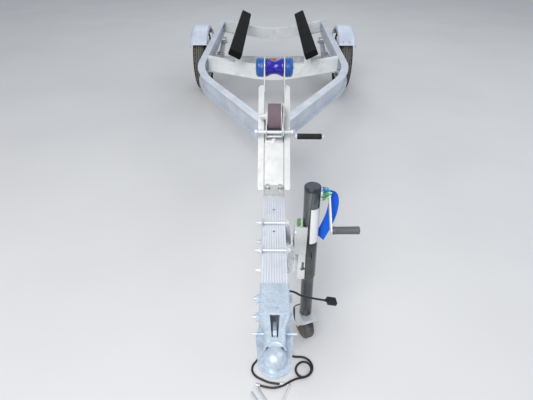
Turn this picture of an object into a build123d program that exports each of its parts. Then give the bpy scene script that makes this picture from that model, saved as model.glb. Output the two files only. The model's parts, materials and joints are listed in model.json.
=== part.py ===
"""Single-place boat trailer: bolted aluminium frame, sprung axle, winch post and swivel jack.

Millimetres. +X is to the right when looking along +Y, +Y points to the rear of the trailer
and +Z is up. Z = 0 is the ground, and X = Y = 0 is the middle of the trailer's length and width.
"""

import os
from math import atan2, cos, pi, radians, sin, sqrt, tan

from build123d import *

RUN = 0.3

# Overall frame
TRAILER_FRONT = -1998.0
TRAILER_REAR = 1998.0
FRAME_WIDTH = 1090.0
TONGUE_TOP = 490.0
RAIL_HEIGHT = 102.0
RAIL_FLANGE = 51.0
RAIL_FLANGE_THICK = 6.0
RAIL_WEB_THICK = 5.0
V_ANGLE = 29.4
BEND_RADIUS = 950.0
BEND_CORNER_Y = 185.0

# Tongue tube, with fine ribs along its top
TONGUE_SIZE = 76.0
TONGUE_WALL = 5.0
TONGUE_FRONT = -1845.0
TONGUE_REAR = -450.0
TONGUE_GROOVES = 9
TONGUE_GROOVE_WIDTH = 1.6
TONGUE_GROOVE_DEPTH = 0.8
TONGUE_HOLE_YS = (-1514.0, -1394.0)
TONGUE_HOLE_RADIUS = 4.5
GUSSET_LENGTH = 210.0
GUSSET_THICK = 6.0

# Shallow V crossmembers
CROSS_V_ANGLE = 10.4
CROSS_RADIUS = 1080.0
CROSS_WEB = 5.0
CROSS_FLANGE_THICK = 6.0
CROSS_DEPTH = 51.0
FRONT_CROSS_Y = 530.0
REAR_CROSS_Y = 1860.0
CROSS_BRACKET_REACH = 70.0
BRACKET_THICK = 6.0

# Bunks
BUNK_LENGTH = 1510.0
BUNK_FRONT_Y = 362.0
BUNK_CENTRE_X = 263.0
BUNK_TOP_Z = 575.0
BUNK_TILT = 25.0
BUNK_WIDTH = 96.0
BUNK_THICK = 45.0
BUNK_CORNER = 8.0
BUNK_BRACKET_WIDTH = 50.0
BUNK_BRACKET_THICK = 5.0

# Running gear
WHEEL_Y = 1270.0
WHEEL_TRACK = FRAME_WIDTH + 214.0
TYRE_RADIUS = 266.0
TYRE_WIDTH = 118.0
RIM_RADIUS = 152.0
RIM_WIDTH = 100.0
HAND_HOLES = 8
HAND_HOLE_CIRCLE = 208.0
STUD_COUNT = 5
STUD_CIRCLE = 114.3
STUD_RADIUS = 6.0
AXLE_SIZE = 50.0
SPINDLE_RADIUS = 15.0
SPRING_INSET = 56.0
SPRING_WIDTH = 44.0
SPRING_SPAN = 660.0
LEAF_THICK = 6.5
LEAF_COUNT = 4
EYE_Z = 352.0
EYE_RADIUS = 14.0
EYE_BORE = 8.0
HANGER_CHEEK = 5.0

# Fenders
FENDER_RADIUS = 304.0
FENDER_WIDTH = 158.0
FENDER_OFFSET = -3.0
FENDER_THICK = 3.0
FENDER_INNER_SKIRT = 30.0
FENDER_OUTER_SKIRT = 46.0
FENDER_INNER_CORNER = 22.0
FENDER_OUTER_CORNER = 40.0
FENDER_END_ANGLE = 38.0
FENDER_BRACKET_REACH = 150.0

# Coupler
COUPLER_REAR = -1746.0
COUPLER_WALL = 3.5
COUPLER_LOW = 434.0
SHOULDER_Y = -1850.0
SHOULDER_LENGTH = 38.0
NECK_HALF = 28.5
RIM_HEIGHT = 12.0
RIM_HALF_WIDE = 49.0
RIM_HALF_NOSE = 42.0
BALL_Y = -1957.0
BALL_RADIUS = 25.4
SOCKET_CLEARANCE = 0.4
DOME_WALL = 3.6
SOCKET_Z = 458.0
COUPLER_BOLT_Z = 458.0
COUPLER_BOLT_YS = (-1772.0, -1835.0)
COUPLER_PIN_HALF = 59.0

# Winch post, leaning back; its own axes are along the post (s) and out of its front face (h)
POST_LEAN = 46.6
POST_FOOT_Y = -1251.0
POST_FOOT_Z = TONGUE_TOP - 8.0
POST_LENGTH = 425.0
POST_OVER_LIPS = 127.0
POST_INSIDE = 76.0
POST_PLATE = 4.0
POST_DEPTH = 62.0
WEB_RECESS = 25.0
WEB_LOW = 10.0
WEB_STEP = 186.0
WEB_HIGH = 300.0
NOTCH_RADIUS = 11.0
FOOT_LENGTH = 128.0
FOOT_OVERHANG = 67.0
ROLLER_S = POST_LENGTH + 76.0
ROLLER_LENGTH = 150.0
ROLLER_RADIUS = 38.5
ROLLER_WAIST = 26.0
ROLLER_PIN = 6.3
ROLLER_GAP = 5.0

# Winch
DRUM_S = 281.0
DRUM_H = 35.0
DRUM_CORE = 19.0
STRAP_ROLL_RADIUS = 49.0
STRAP_WIDTH = 50.0
WINCH_INSIDE = 58.0
WINCH_PLATE = 3.5
CRANK_S = 217.0
CRANK_H = 38.0
GEAR_TEETH = 40
PINION_TEETH = 12
GEAR_THICK = 4.0
TOOTH_ABOVE = 1.5
TOOTH_BELOW = 2.1
CRANK_ARM = 150.0
CRANK_ARM_RISE = 20.0
CRANK_ARM_X = 75.0
CRANK_LEFT_X = -76.0
WINCH_GRIP_LENGTH = 85.0
WINCH_GRIP_RADIUS = 10.5

# Jack, leaning a little under its load; its tube is described from the swivel's height
JACK_X = 115.0
JACK_Y = -1560.0
JACK_PIVOT_Z = 452.0
JACK_LEAN = 1.15
JACK_ABOVE = 250.0
JACK_BELOW = 112.0
JACK_TUBE_RADIUS = 25.0
JACK_TUBE_WALL = 2.5
JACK_CAP_HEIGHT = 12.0
RAM_RADIUS = 21.5
RAM_WALL = 3.0
RAM_LENGTH = 350.0
SWIVEL_PLATE_X = 58.0
SWIVEL_PLATE = 5.0
SWIVEL_RADIUS = 30.0
PIVOT_RADIUS = 12.0
JACK_CRANK_HEIGHT = 223.0
JACK_CRANK_REACH = 49.5
JACK_ARM = 112.0
JACK_ARM_ANGLE = 52.0
JACK_GRIP_LENGTH = 76.0
JACK_GRIP_RADIUS = 11.7
CLAMP_YS = (-1612.0, -1476.0)
CLAMP_BOLT = 5.0
CLAMP_EDGE = 18.0
CASTER_ANGLE = 21.0
CASTER_TRAIL = 15.0
CASTER_WHEEL_RADIUS = 65.0
CASTER_WHEEL_WIDTH = 36.0
CASTER_GAP = 5.0
FORK_PLATE = 4.0
FORK_FRONT = 46.0
FORK_LIP = 12.0

# Cords, each with its route
CABLE_RADIUS = 3.75
LEAD_RADIUS = 3.25
TIE_WIDTH = 34.0
TIE_THICK = 1.6
ANCHOR_X = 18.0
ANCHOR_Y = -1700.0
ANCHOR_LOW = 377.5
SLEEVE_LENGTH = 16.0
SLEEVE_RADIUS = 5.1
HOOK_RADIUS = 4.0
HOOK_Z = 4.2
CABLE_LEFT = (
    (-ANCHOR_X, ANCHOR_Y, ANCHOR_LOW), (-ANCHOR_X, ANCHOR_Y, 330), (-20, -1696, 268), (-23, -1690, 206),
    (-28, -1684, 148), (-33, -1679, 98), (-39, -1675, 58), (-47, -1675, 26), (-60, -1682, 7), (-75, -1699, 4),
    (-76, -1722, 4), (-62, -1741, 4), (-38, -1753, 4), (-8, -1766, 4.6), (24, -1768, 5.2),
)
CABLE_RIGHT = (
    (ANCHOR_X, ANCHOR_Y, ANCHOR_LOW), (ANCHOR_X, ANCHOR_Y, 330), (21, -1696, 268), (26, -1690, 205),
    (32, -1684, 145), (40, -1677, 92), (49, -1671, 50), (62, -1667, 20), (82, -1663, 5), (106, -1661, 4),
    (129, -1669, 4), (144, -1690, 4), (144, -1716, 4), (128, -1737, 4), (102, -1744, 4), (82, -1727, 4.5),
    (83, -1702, 7), (103, -1685, 10), (127, -1689, 12.3), (140, -1709, 12.3), (134, -1733, 12.3),
    (112, -1747, 12.3), (84, -1752, 12.6), (60, -1763, 13), (36, -1779, 13), (8, -1785, 8), (-20, -1782, 5.2),
    (-45, -1775, 5.2),
)
LEAD = (
    (44, -1697, 405), (59, -1697, 405), (81, -1701, 390), (107, -1694, 373), (140, -1687, 357),
    (163, -1684, 349),
)
TIE = ((141, 687.4), (163, 692), (180, 668), (182.5, 624), (169, 562), (143, 503))

# Hooks lying on the ground: (x, y) corners of the bent rod, and the radii of its bends
HOOK_RIGHT = ((34, -1768.6), (62, -1770), (29, -1838), (51, -1849), (58, -1834))
HOOK_RIGHT_BENDS = (7.0, 9.0, 9.0)
HOOK_LEFT = ((-49, -1773.9), (-65, -1768.3), (-18, -1838), (-39, -1852), (-75, -1799))
HOOK_LEFT_BENDS = (5.5, 12.0, 12.0)

HALF_FRAME = FRAME_WIDTH / 2
RAIL_TOP = TONGUE_TOP
RAIL_BOTTOM = RAIL_TOP - RAIL_HEIGHT
TONGUE_BOTTOM = TONGUE_TOP - TONGUE_SIZE
TONGUE_MID = TONGUE_TOP - TONGUE_SIZE / 2
HALF_TONGUE = TONGUE_SIZE / 2
RAIL_INNER_X = HALF_FRAME - RAIL_FLANGE
RAIL_WEB_X = HALF_FRAME - RAIL_FLANGE / 2 - RAIL_WEB_THICK / 2
HALF_TRACK = WHEEL_TRACK / 2
WHEEL_Z = TYRE_RADIUS
AXLE_TOP = WHEEL_Z + AXLE_SIZE / 2
AXLE_HALF = HALF_FRAME + 12
SPRING_X = HALF_FRAME - SPRING_INSET
FENDER_INNER_X = HALF_TRACK + FENDER_OFFSET - FENDER_WIDTH / 2
PARTS = {}


def box(x0, x1, y0, y1, z0, z1):
    """Box between two corners."""
    return Pos((x0 + x1) / 2, (y0 + y1) / 2, (z0 + z1) / 2) * Box(x1 - x0, y1 - y0, z1 - z0)


def rod_x(x0, x1, y, z, radius):
    """Round bar along X."""
    return Pos((x0 + x1) / 2, y, z) * Rot(0, 90, 0) * Cylinder(radius, x1 - x0)


def rod_z(x, y, z0, z1, radius):
    """Round bar along Z."""
    return Pos(x, y, (z0 + z1) / 2) * Cylinder(radius, z1 - z0)


def hex_x(x0, x1, y, z, across):
    """Hexagon head or nut along X."""
    plane = Plane(origin=(x0, y, z), x_dir=(0, 1, 0), z_dir=(1, 0, 0))
    return extrude(plane * RegularPolygon(across / sqrt(3), 6), x1 - x0)


def hex_z(x, y, z0, z1, across):
    """Hexagon head along Z."""
    return extrude(Pos(x, y, z0) * RegularPolygon(across / sqrt(3), 6), z1 - z0)


def prism_x(points, x0, x1):
    """Outline given as (y, z) points, extruded from x0 to x1."""
    plane = Plane(origin=(x0, 0, 0), x_dir=(0, 1, 0), z_dir=(1, 0, 0))
    return extrude(plane * make_face(Polyline(*points, close=True)), x1 - x0)


def prism_z(points, z0, z1):
    """Outline given as (x, y) points, extruded from z0 to z1."""
    return extrude(Pos(0, 0, z0) * make_face(Polyline(*points, close=True)), z1 - z0)


def other_side(shape):
    """Mirror image across the trailer's middle plane."""
    mirrored = [solid.mirror(Plane.YZ) for solid in shape.solids()]
    return mirrored[0] if len(mirrored) == 1 else Compound(children=mirrored)


def both_sides(name, right_shape):
    """Store a right-hand piece and its mirror image as two nodes."""
    PARTS[f"{name}_right"] = right_shape
    PARTS[f"{name}_left"] = other_side(right_shape)


# Bent side rails: three strips of one plan curve make the I section
def rail_strip(inset_outer, inset_inner):
    """Plan face of the right rail between two insets from its outer edge."""
    turn = radians(V_ANGLE)
    centre = Vector(HALF_FRAME - BEND_RADIUS, BEND_CORNER_Y + BEND_RADIUS * tan(turn / 2))

    def edge(inset):
        radius = BEND_RADIUS - inset
        points = [(HALF_FRAME - inset, TRAILER_REAR)]
        for angle in (0.0, turn / 2, turn):
            points.append((centre.X + radius * cos(angle), centre.Y - radius * sin(angle)))
        reach = (points[-1][0] - HALF_TONGUE) / sin(turn)
        points.append((HALF_TONGUE, points[-1][1] - reach * cos(turn)))
        return points

    outer, inner = edge(inset_outer), edge(inset_inner)
    with BuildSketch() as sketch:
        with BuildLine():
            for side in (outer, inner):
                Line(side[0], side[1])
                ThreePointArc(side[1], side[2], side[3])
                Line(side[3], side[4])
            Line(outer[0], inner[0])
            Line(outer[4], inner[4])
        make_face()
    return sketch.sketch


def side_rail():
    """Right-hand I-beam rail, bent from the side into the drawbar's V."""
    flange = rail_strip(0, RAIL_FLANGE)
    web_inset = (RAIL_FLANGE - RAIL_WEB_THICK) / 2
    web = rail_strip(web_inset, web_inset + RAIL_WEB_THICK)
    low = extrude(Pos(0, 0, RAIL_BOTTOM) * flange, RAIL_FLANGE_THICK)
    high = extrude(Pos(0, 0, RAIL_TOP - RAIL_FLANGE_THICK) * flange, RAIL_FLANGE_THICK)
    middle = extrude(Pos(0, 0, RAIL_BOTTOM) * web, RAIL_HEIGHT)
    return low + high + middle


def tongue_tube():
    """Square drawbar tube with a ribbed top and two holes."""
    tube = box(-HALF_TONGUE, HALF_TONGUE, TONGUE_FRONT, TONGUE_REAR, TONGUE_BOTTOM, TONGUE_TOP)
    hollow = HALF_TONGUE - TONGUE_WALL
    tube = tube - box(-hollow, hollow, TONGUE_FRONT - 1, TONGUE_REAR + 1,
                      TONGUE_BOTTOM + TONGUE_WALL, TONGUE_TOP - TONGUE_WALL)
    pitch = TONGUE_SIZE / (TONGUE_GROOVES + 1)
    for index in range(TONGUE_GROOVES):
        x = pitch * (index + 1) - HALF_TONGUE
        tube = tube - box(x - TONGUE_GROOVE_WIDTH / 2, x + TONGUE_GROOVE_WIDTH / 2, TONGUE_FRONT - 1,
                          TONGUE_REAR + 1, TONGUE_TOP - TONGUE_GROOVE_DEPTH, TONGUE_TOP + 1)
    for y in TONGUE_HOLE_YS:
        tube = tube - rod_z(0, y, TONGUE_TOP - TONGUE_WALL - 1, TONGUE_TOP + 1, TONGUE_HOLE_RADIUS)
    return tube


def tongue_gusset():
    """Plate under the junction of the tongue and the two V legs, with a packer below the tube."""
    front = BEND_CORNER_Y - (HALF_FRAME - HALF_TONGUE) / tan(radians(V_ANGLE)) + 25
    rear = front + GUSSET_LENGTH
    half_front = HALF_TONGUE + 24
    half_rear = half_front + 0.42 * GUSSET_LENGTH
    plate = prism_z([(-half_front, front), (half_front, front), (half_rear, rear), (-half_rear, rear)],
                    RAIL_BOTTOM - GUSSET_THICK, RAIL_BOTTOM)
    return plate + box(-HALF_TONGUE, HALF_TONGUE, front + 90, rear - 20, RAIL_BOTTOM, TONGUE_BOTTOM)


# Crossmembers
def cross_bottom_z(x):
    """Height of a crossmember's bottom edge at X, on its straight leg."""
    return RAIL_BOTTOM - (RAIL_INNER_X - abs(x)) * tan(radians(CROSS_V_ANGLE))


def cross_edge(offset):
    """Polyline points of a shallow V line at an offset above the crossmember's bottom."""
    turn = radians(CROSS_V_ANGLE)
    centre_z = cross_bottom_z(0) + CROSS_RADIUS / cos(turn)
    radius = CROSS_RADIUS - offset
    end_z = RAIL_BOTTOM + offset / cos(turn)
    bend_x = radius * sin(turn)
    bend_z = centre_z - radius * cos(turn)
    return [(-RAIL_INNER_X, end_z), (-bend_x, bend_z), (0, centre_z - radius),
            (bend_x, bend_z), (RAIL_INNER_X, end_z)]


def cross_band(low, high):
    """Face of a shallow V band between two offsets above its bottom edge."""
    bottom, top = cross_edge(low), cross_edge(high)
    with BuildSketch() as sketch:
        with BuildLine():
            for side in (bottom, top):
                Line(side[0], side[1])
                ThreePointArc(side[1], side[2], side[3])
                Line(side[3], side[4])
            Line(bottom[0], top[0])
            Line(bottom[4], top[4])
        make_face()
    return sketch.sketch


def crossmember(front_y):
    """V-bent channel with its web to the front and its flanges to the rear."""
    depth = RAIL_HEIGHT * cos(radians(CROSS_V_ANGLE))
    plane = Plane(origin=(0, front_y, 0), x_dir=(1, 0, 0), z_dir=(0, -1, 0))
    web = extrude(plane * cross_band(0, depth), -CROSS_WEB)
    low = extrude(plane * cross_band(0, CROSS_FLANGE_THICK), -CROSS_DEPTH)
    high = extrude(plane * cross_band(depth - CROSS_FLANGE_THICK, depth), -CROSS_DEPTH)
    return web + low + high


def crossmember_bracket(front_y):
    """Right-hand angle bracket: a leg behind the web and a foot on the rail's web."""
    reach = RAIL_INNER_X - CROSS_BRACKET_REACH
    low = RAIL_BOTTOM + CROSS_FLANGE_THICK + 8
    high = cross_bottom_z(reach) + RAIL_HEIGHT - CROSS_FLANGE_THICK - 7
    back = front_y + CROSS_WEB
    leg = box(reach, RAIL_WEB_X, back, back + BRACKET_THICK, low, high)
    return leg + box(RAIL_WEB_X - BRACKET_THICK, RAIL_WEB_X, back, back + CROSS_DEPTH - 10, low, high)


def crossmember_shelf(front_y):
    """Right-hand plate under the crossmember's end, bent flat under the rail."""
    y0, y1 = front_y - 9, front_y + CROSS_DEPTH
    sloped = Rot(0, -CROSS_V_ANGLE, 0) * box(-CROSS_BRACKET_REACH, 0, y0, y1, -BRACKET_THICK, 0)
    flat = box(-0.5, RAIL_WEB_X - RAIL_INNER_X, y0, y1, -BRACKET_THICK, 0)
    return Pos(RAIL_INNER_X, 0, RAIL_BOTTOM) * (sloped + flat)


def crossmember_brackets():
    """Angle brackets and shelves at both ends of both crossmembers."""
    pieces = []
    for front_y in (FRONT_CROSS_Y, REAR_CROSS_Y):
        for piece in (crossmember_bracket(front_y), crossmember_shelf(front_y)):
            pieces += [piece, other_side(piece)]
    return Compound(children=pieces)


# Bunks
def bunk():
    """Right-hand carpeted bunk board, tilted down towards the middle."""
    board = Box(BUNK_WIDTH, BUNK_LENGTH, BUNK_THICK)
    board = fillet(board.edges().filter_by(Axis.Y), BUNK_CORNER)
    placed = Rot(0, -BUNK_TILT, 0) * Pos(0, 0, -BUNK_THICK / 2) * board
    return Pos(BUNK_CENTRE_X, BUNK_FRONT_Y + BUNK_LENGTH / 2, BUNK_TOP_Z) * placed


def bunk_brackets():
    """Upright angles that carry the bunks on the crossmembers."""
    brackets = []
    half = BUNK_BRACKET_WIDTH / 2
    under = BUNK_TOP_Z - BUNK_THICK / cos(radians(BUNK_TILT))
    rise = half * tan(radians(BUNK_TILT))
    low = cross_bottom_z(BUNK_CENTRE_X) + 0.4 * RAIL_HEIGHT
    for front_y in (FRONT_CROSS_Y, REAR_CROSS_Y):
        y0 = front_y - BUNK_BRACKET_THICK
        outline = Polyline((BUNK_CENTRE_X - half, low), (BUNK_CENTRE_X + half, low),
                           (BUNK_CENTRE_X + half, under + rise - RUN),
                           (BUNK_CENTRE_X - half, under - rise - RUN), close=True)
        plane = Plane(origin=(0, y0, 0), x_dir=(1, 0, 0), z_dir=(0, -1, 0))
        plate = extrude(plane * make_face(outline), -BUNK_BRACKET_THICK)
        ledge = Box(BUNK_BRACKET_WIDTH + 20, 60, BUNK_BRACKET_THICK)
        ledge = Rot(0, -BUNK_TILT, 0) * Pos(0, 0, -BUNK_BRACKET_THICK / 2) * ledge
        ledge = Pos(BUNK_CENTRE_X, y0 + 30, under - RUN) * ledge
        brackets += [plate + ledge, other_side(plate + ledge)]
    return Compound(children=brackets)


# Running gear
def axle_beam():
    """Square axle with a round spindle at each end."""
    beam = box(-AXLE_HALF, AXLE_HALF, WHEEL_Y - AXLE_SIZE / 2, WHEEL_Y + AXLE_SIZE / 2,
               WHEEL_Z - AXLE_SIZE / 2, AXLE_TOP)
    return beam + rod_x(-HALF_TRACK - 20, HALF_TRACK + 20, WHEEL_Y, WHEEL_Z, SPINDLE_RADIUS)


def arc_strip(centre_z, radius, half_span, thick):
    """Upward-opening leaf: a strip of constant thickness on an arc."""
    reach = min(half_span / radius, 1.0)
    angle = atan2(reach, sqrt(1 - reach ** 2))

    def point(r, a):
        return (WHEEL_Y + r * sin(a), centre_z - r * cos(a))

    with BuildSketch() as sketch:
        with BuildLine():
            for r in (radius + thick, radius):
                ThreePointArc(point(r, -angle), point(r, 0), point(r, angle))
            for a in (-angle, angle):
                Line(point(radius + thick, a), point(radius, a))
        make_face()
    return sketch.sketch


def leaf_spring():
    """Right-hand leaf pack with a rolled eye at each end of its main leaf."""
    low = AXLE_TOP + LEAF_COUNT * LEAF_THICK
    half = SPRING_SPAN / 2
    radius = (half ** 2 + (EYE_Z - low) ** 2) / (2 * (EYE_Z - low))
    x0, x1 = SPRING_X - SPRING_WIDTH / 2, SPRING_X + SPRING_WIDTH / 2
    plane = Plane(origin=(x0, 0, 0), x_dir=(0, 1, 0), z_dir=(1, 0, 0))
    pack = None
    for index in range(LEAF_COUNT):
        strip = arc_strip(low + radius, radius + index * LEAF_THICK, half * (1 - 0.23 * index), LEAF_THICK)
        leaf = extrude(plane * strip, SPRING_WIDTH)
        pack = leaf if pack is None else pack + leaf
    for eye_y in (WHEEL_Y - half, WHEEL_Y + half):
        pack = pack + rod_x(x0, x1, eye_y, EYE_Z - 3, EYE_RADIUS)
        pack = pack - rod_x(x0 - 1, x1 + 1, eye_y, EYE_Z - 3, EYE_BORE)
    return pack


def spring_hanger(eye_y):
    """Two tapered cheeks and a bolt that hang a spring eye under the right rail."""
    half = SPRING_WIDTH / 2 + RUN
    eye_z = EYE_Z - 3
    low = RAIL_BOTTOM - HANGER_CHEEK
    x0, x1 = SPRING_X - half - HANGER_CHEEK, SPRING_X + half + HANGER_CHEEK
    hanger = box(x0, HALF_FRAME, eye_y - 28, eye_y + 28, low, RAIL_BOTTOM)
    outline = [(eye_y - 26, low), (eye_y + 26, low), (eye_y + 18, eye_z - 8), (eye_y + 9, eye_z - 19),
               (eye_y - 9, eye_z - 19), (eye_y - 18, eye_z - 8)]
    for x in (x0, x1 - HANGER_CHEEK):
        hanger = hanger + prism_x(outline, x, x + HANGER_CHEEK)
    hanger = hanger + rod_x(x0 - 14, x1 + 14, eye_y, eye_z, EYE_BORE - RUN)
    return hanger + hex_x(x0 - 9, x0, eye_y, eye_z, 22) + hex_x(x1, x1 + 9, eye_y, eye_z, 22)


def spring_clip():
    """U-bolts over the spring and the plate under the axle."""
    low = WHEEL_Z - AXLE_SIZE / 2
    top = AXLE_TOP + LEAF_COUNT * LEAF_THICK + 8
    clip = box(SPRING_X - 40, SPRING_X + 40, WHEEL_Y - 46, WHEEL_Y + 46, low - 8, low)
    half = SPRING_WIDTH / 2 + 6
    for y in (WHEEL_Y - AXLE_SIZE / 2 - 6, WHEEL_Y + AXLE_SIZE / 2 + 6):
        for x in (SPRING_X - half, SPRING_X + half):
            clip = clip + rod_z(x, y, low - 20, top, 5) + rod_z(x, y, low - 16, low - 8, 8.5)
        clip = clip + rod_x(SPRING_X - half, SPRING_X + half, y, top, 5)
    return clip


def spring_fittings():
    """Hangers at both ends of a spring, and its U-bolts at the axle."""
    hangers = [spring_hanger(WHEEL_Y + end * SPRING_SPAN / 2) for end in (-1, 1)]
    return Compound(children=hangers + [spring_clip()])


def fender_section(inset):
    """Points of the fender's cross section, inset from its outside by the sheet's thickness."""
    x0, x1 = FENDER_INNER_X + inset, FENDER_INNER_X + FENDER_WIDTH - inset
    top = FENDER_RADIUS - inset
    a, b = FENDER_INNER_CORNER - inset, FENDER_OUTER_CORNER - inset
    ka, kb = a * (1 - cos(pi / 4)), b * (1 - cos(pi / 4))
    return [(x0, FENDER_RADIUS - FENDER_INNER_SKIRT), (x0, top - a), (x0 + ka, top - ka), (x0 + a, top),
            (x1 - b, top), (x1 - kb, top - kb), (x1, top - b), (x1, FENDER_RADIUS - FENDER_OUTER_SKIRT)]


def fender():
    """Right-hand rolled fender with its edges turned down on both sides."""
    outside, inside = fender_section(0), fender_section(FENDER_THICK)
    with BuildSketch() as sketch:
        with BuildLine():
            for p in (outside, inside):
                Line(p[0], p[1])
                ThreePointArc(p[1], p[2], p[3])
                Line(p[3], p[4])
                ThreePointArc(p[4], p[5], p[6])
                Line(p[6], p[7])
            Line(outside[0], inside[0])
            Line(outside[7], inside[7])
        make_face()
    end = radians(FENDER_END_ANGLE)
    start = Plane(origin=(0, WHEEL_Y, WHEEL_Z), x_dir=(1, 0, 0), z_dir=(0, -sin(end), -cos(end)))
    return revolve(start * sketch.sketch, Axis((0, WHEEL_Y, WHEEL_Z), (-1, 0, 0)), 180 - 2 * FENDER_END_ANGLE)


def fender_brackets():
    """Angles between each rail's web and its fender's inner skirt."""
    solids = []
    low = RAIL_BOTTOM + 20
    web = RAIL_WEB_X + RAIL_WEB_THICK
    skirt = FENDER_INNER_X - RUN
    rise = sqrt((FENDER_RADIUS - FENDER_INNER_CORNER) ** 2 - FENDER_BRACKET_REACH ** 2)
    for y in (WHEEL_Y - FENDER_BRACKET_REACH, WHEEL_Y + FENDER_BRACKET_REACH):
        bracket = box(web, skirt, y - 20, y + 20, low, low + BRACKET_THICK)
        bracket = bracket + box(skirt - BRACKET_THICK, skirt, y - 20, y + 20, low, WHEEL_Z + rise)
        bracket = bracket + box(web, web + BRACKET_THICK, y - 20, y + 20, low, low + 50)
        solids += [bracket, other_side(bracket)]
    return Compound(children=solids)


def turned(points):
    """Solid turned about the right wheel's axis from (distance along the axle, radius) points."""
    plane = Plane(origin=(HALF_TRACK, WHEEL_Y, WHEEL_Z), x_dir=(1, 0, 0), z_dir=(0, -1, 0))
    face = plane * make_face(Polyline(*points, close=True))
    return revolve(face, Axis((0, WHEEL_Y, WHEEL_Z), (1, 0, 0)), 360)


def round_wheel(count, circle, start=90):
    """Evenly spaced (y, z) places on a circle about the wheel's axis."""
    places = []
    for index in range(count):
        angle = radians(start + 360 * index / count)
        places.append((WHEEL_Y + circle / 2 * cos(angle), WHEEL_Z + circle / 2 * sin(angle)))
    return places


def tyre():
    """Tyre with rounded shoulders and a bead seat on the rim."""
    w, r = TYRE_WIDTH / 2, TYRE_RADIUS
    seat = RIM_RADIUS + RUN
    bead = RIM_WIDTH / 2 - 6
    half = [(16, r), (w - 22, r - 2), (w - 12, r - 9), (w - 4, r - 26), (w, seat + 62), (w - 2, seat + 40),
            (bead, seat + 12), (bead, seat), (bead - 10, seat), (bead - 10, seat + 20),
            (w - 14, seat + 60), (w - 18, r - 26), (16, r - 14)]
    return turned(half + [(-x, y) for x, y in reversed(half)])


def rim():
    """Drop-centre rim with a dished disc, hand holes and a stud circle."""
    seat, edge = RIM_RADIUS, RIM_WIDTH / 2
    barrel = [(-edge, seat + 8), (4 - edge, seat + 8), (6 - edge, seat), (-22, seat), (-16, seat - 18),
              (12, seat - 18), (20, seat), (edge - 6, seat), (edge - 4, seat + 8), (edge, seat + 8),
              (edge - 3, seat - 4), (22, seat - 4), (15, seat - 22), (-19, seat - 22), (-25, seat - 4),
              (3 - edge, seat - 4)]
    disc = [(6, seat - 20), (13, seat - 20), (34, seat - 34), (30, 88), (12, 78), (12, 34), (7, 34),
            (7, 81), (25, 92), (28, seat - 36)]
    shell = turned(barrel) + turned(disc)
    for y, z in round_wheel(HAND_HOLES, HAND_HOLE_CIRCLE):
        shell = shell - rod_x(HALF_TRACK, HALF_TRACK + 60, y, z, 13)
    for y, z in round_wheel(STUD_COUNT, STUD_CIRCLE):
        shell = shell - rod_x(HALF_TRACK, HALF_TRACK + 30, y, z, STUD_RADIUS + 0.3)
    return shell


def hub():
    """Hub with its flange, studs with nuts and a dust cap."""
    bore = SPINDLE_RADIUS + 0.05
    body = turned([(-62, bore), (-62, 30), (-8, 33), (-8, 70), (6.7, 70), (6.7, 33), (40, 27), (40, 22),
                   (55, 21), (58, 17), (58, 0), (26, 0), (26, bore)])
    for y, z in round_wheel(STUD_COUNT, STUD_CIRCLE):
        body = body + rod_x(HALF_TRACK + 6, HALF_TRACK + 33, y, z, STUD_RADIUS)
        body = body + hex_x(HALF_TRACK + 12.4, HALF_TRACK + 28, y, z, 19)
    return body


# Coupler
def xz_rectangle(y, half_width, low, high, corner):
    """Upright rounded rectangle across the trailer at a given Y."""
    with BuildSketch(Plane(origin=(0, y, 0), x_dir=(1, 0, 0), z_dir=(0, -1, 0))) as sketch:
        with Locations((0, (low + high) / 2)):
            RectangleRounded(2 * half_width, high - low, corner)
    return sketch.sketch.face()


COUPLER_HALF = HALF_TONGUE + COUPLER_WALL + RUN
COUPLER_TOP = TONGUE_TOP + COUPLER_WALL + RUN
DOME_RADIUS = BALL_RADIUS + SOCKET_CLEARANCE + DOME_WALL


def coupler_rim(inset, low, high):
    """Flat-nosed U-shaped plate of the coupler, inset from its rim."""
    half, wide, nose = COUPLER_HALF - inset, RIM_HALF_WIDE - inset, RIM_HALF_NOSE - inset
    start = SHOULDER_Y - 6
    with BuildSketch() as plan:
        with BuildLine():
            Polyline((-half, start), (-wide, SHOULDER_Y - SHOULDER_LENGTH), (-nose, BALL_Y))
            Polyline((half, start), (wide, SHOULDER_Y - SHOULDER_LENGTH), (nose, BALL_Y))
            ThreePointArc((-nose, BALL_Y), (0, TRAILER_FRONT + inset), (nose, BALL_Y))
            Line((-half, start), (half, start))
        make_face()
    return extrude(Pos(0, 0, low) * plan.sketch, high - low)


def coupler_neck(inset):
    """Shoulder and neck that taper from the channel to the dome, inset from their outside."""
    low = COUPLER_LOW + RIM_HEIGHT - COUPLER_WALL - inset
    end = SHOULDER_Y - SHOULDER_LENGTH
    stations = [(SHOULDER_Y, COUPLER_HALF, COUPLER_TOP, 5), (end, NECK_HALF, COUPLER_TOP - 5, 9),
                (BALL_Y + 18, NECK_HALF - 1, COUPLER_TOP - 14, 11)]
    faces = [xz_rectangle(y, half - inset, low, top - inset, corner - inset / 2)
             for y, half, top, corner in stations]
    return loft(faces[:2]) + loft(faces[1:])


def coupler_fasteners():
    """Hexagon bolts through the channel's sides and the cross pin of the latch."""
    pin_y = SHOULDER_Y - SHOULDER_LENGTH + 3
    pieces = rod_x(-COUPLER_PIN_HALF, COUPLER_PIN_HALF, pin_y, COUPLER_BOLT_Z - 4, 3.2)
    for y in COUPLER_BOLT_YS:
        pieces = pieces + hex_x(-COUPLER_HALF - 9, -COUPLER_HALF, y, COUPLER_BOLT_Z, 22)
        pieces = pieces + rod_x(-COUPLER_HALF - 16, -COUPLER_HALF, y, COUPLER_BOLT_Z, 6)
        pieces = pieces + hex_x(COUPLER_HALF, COUPLER_HALF + 8, y, COUPLER_BOLT_Z, 22)
    return pieces


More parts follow.
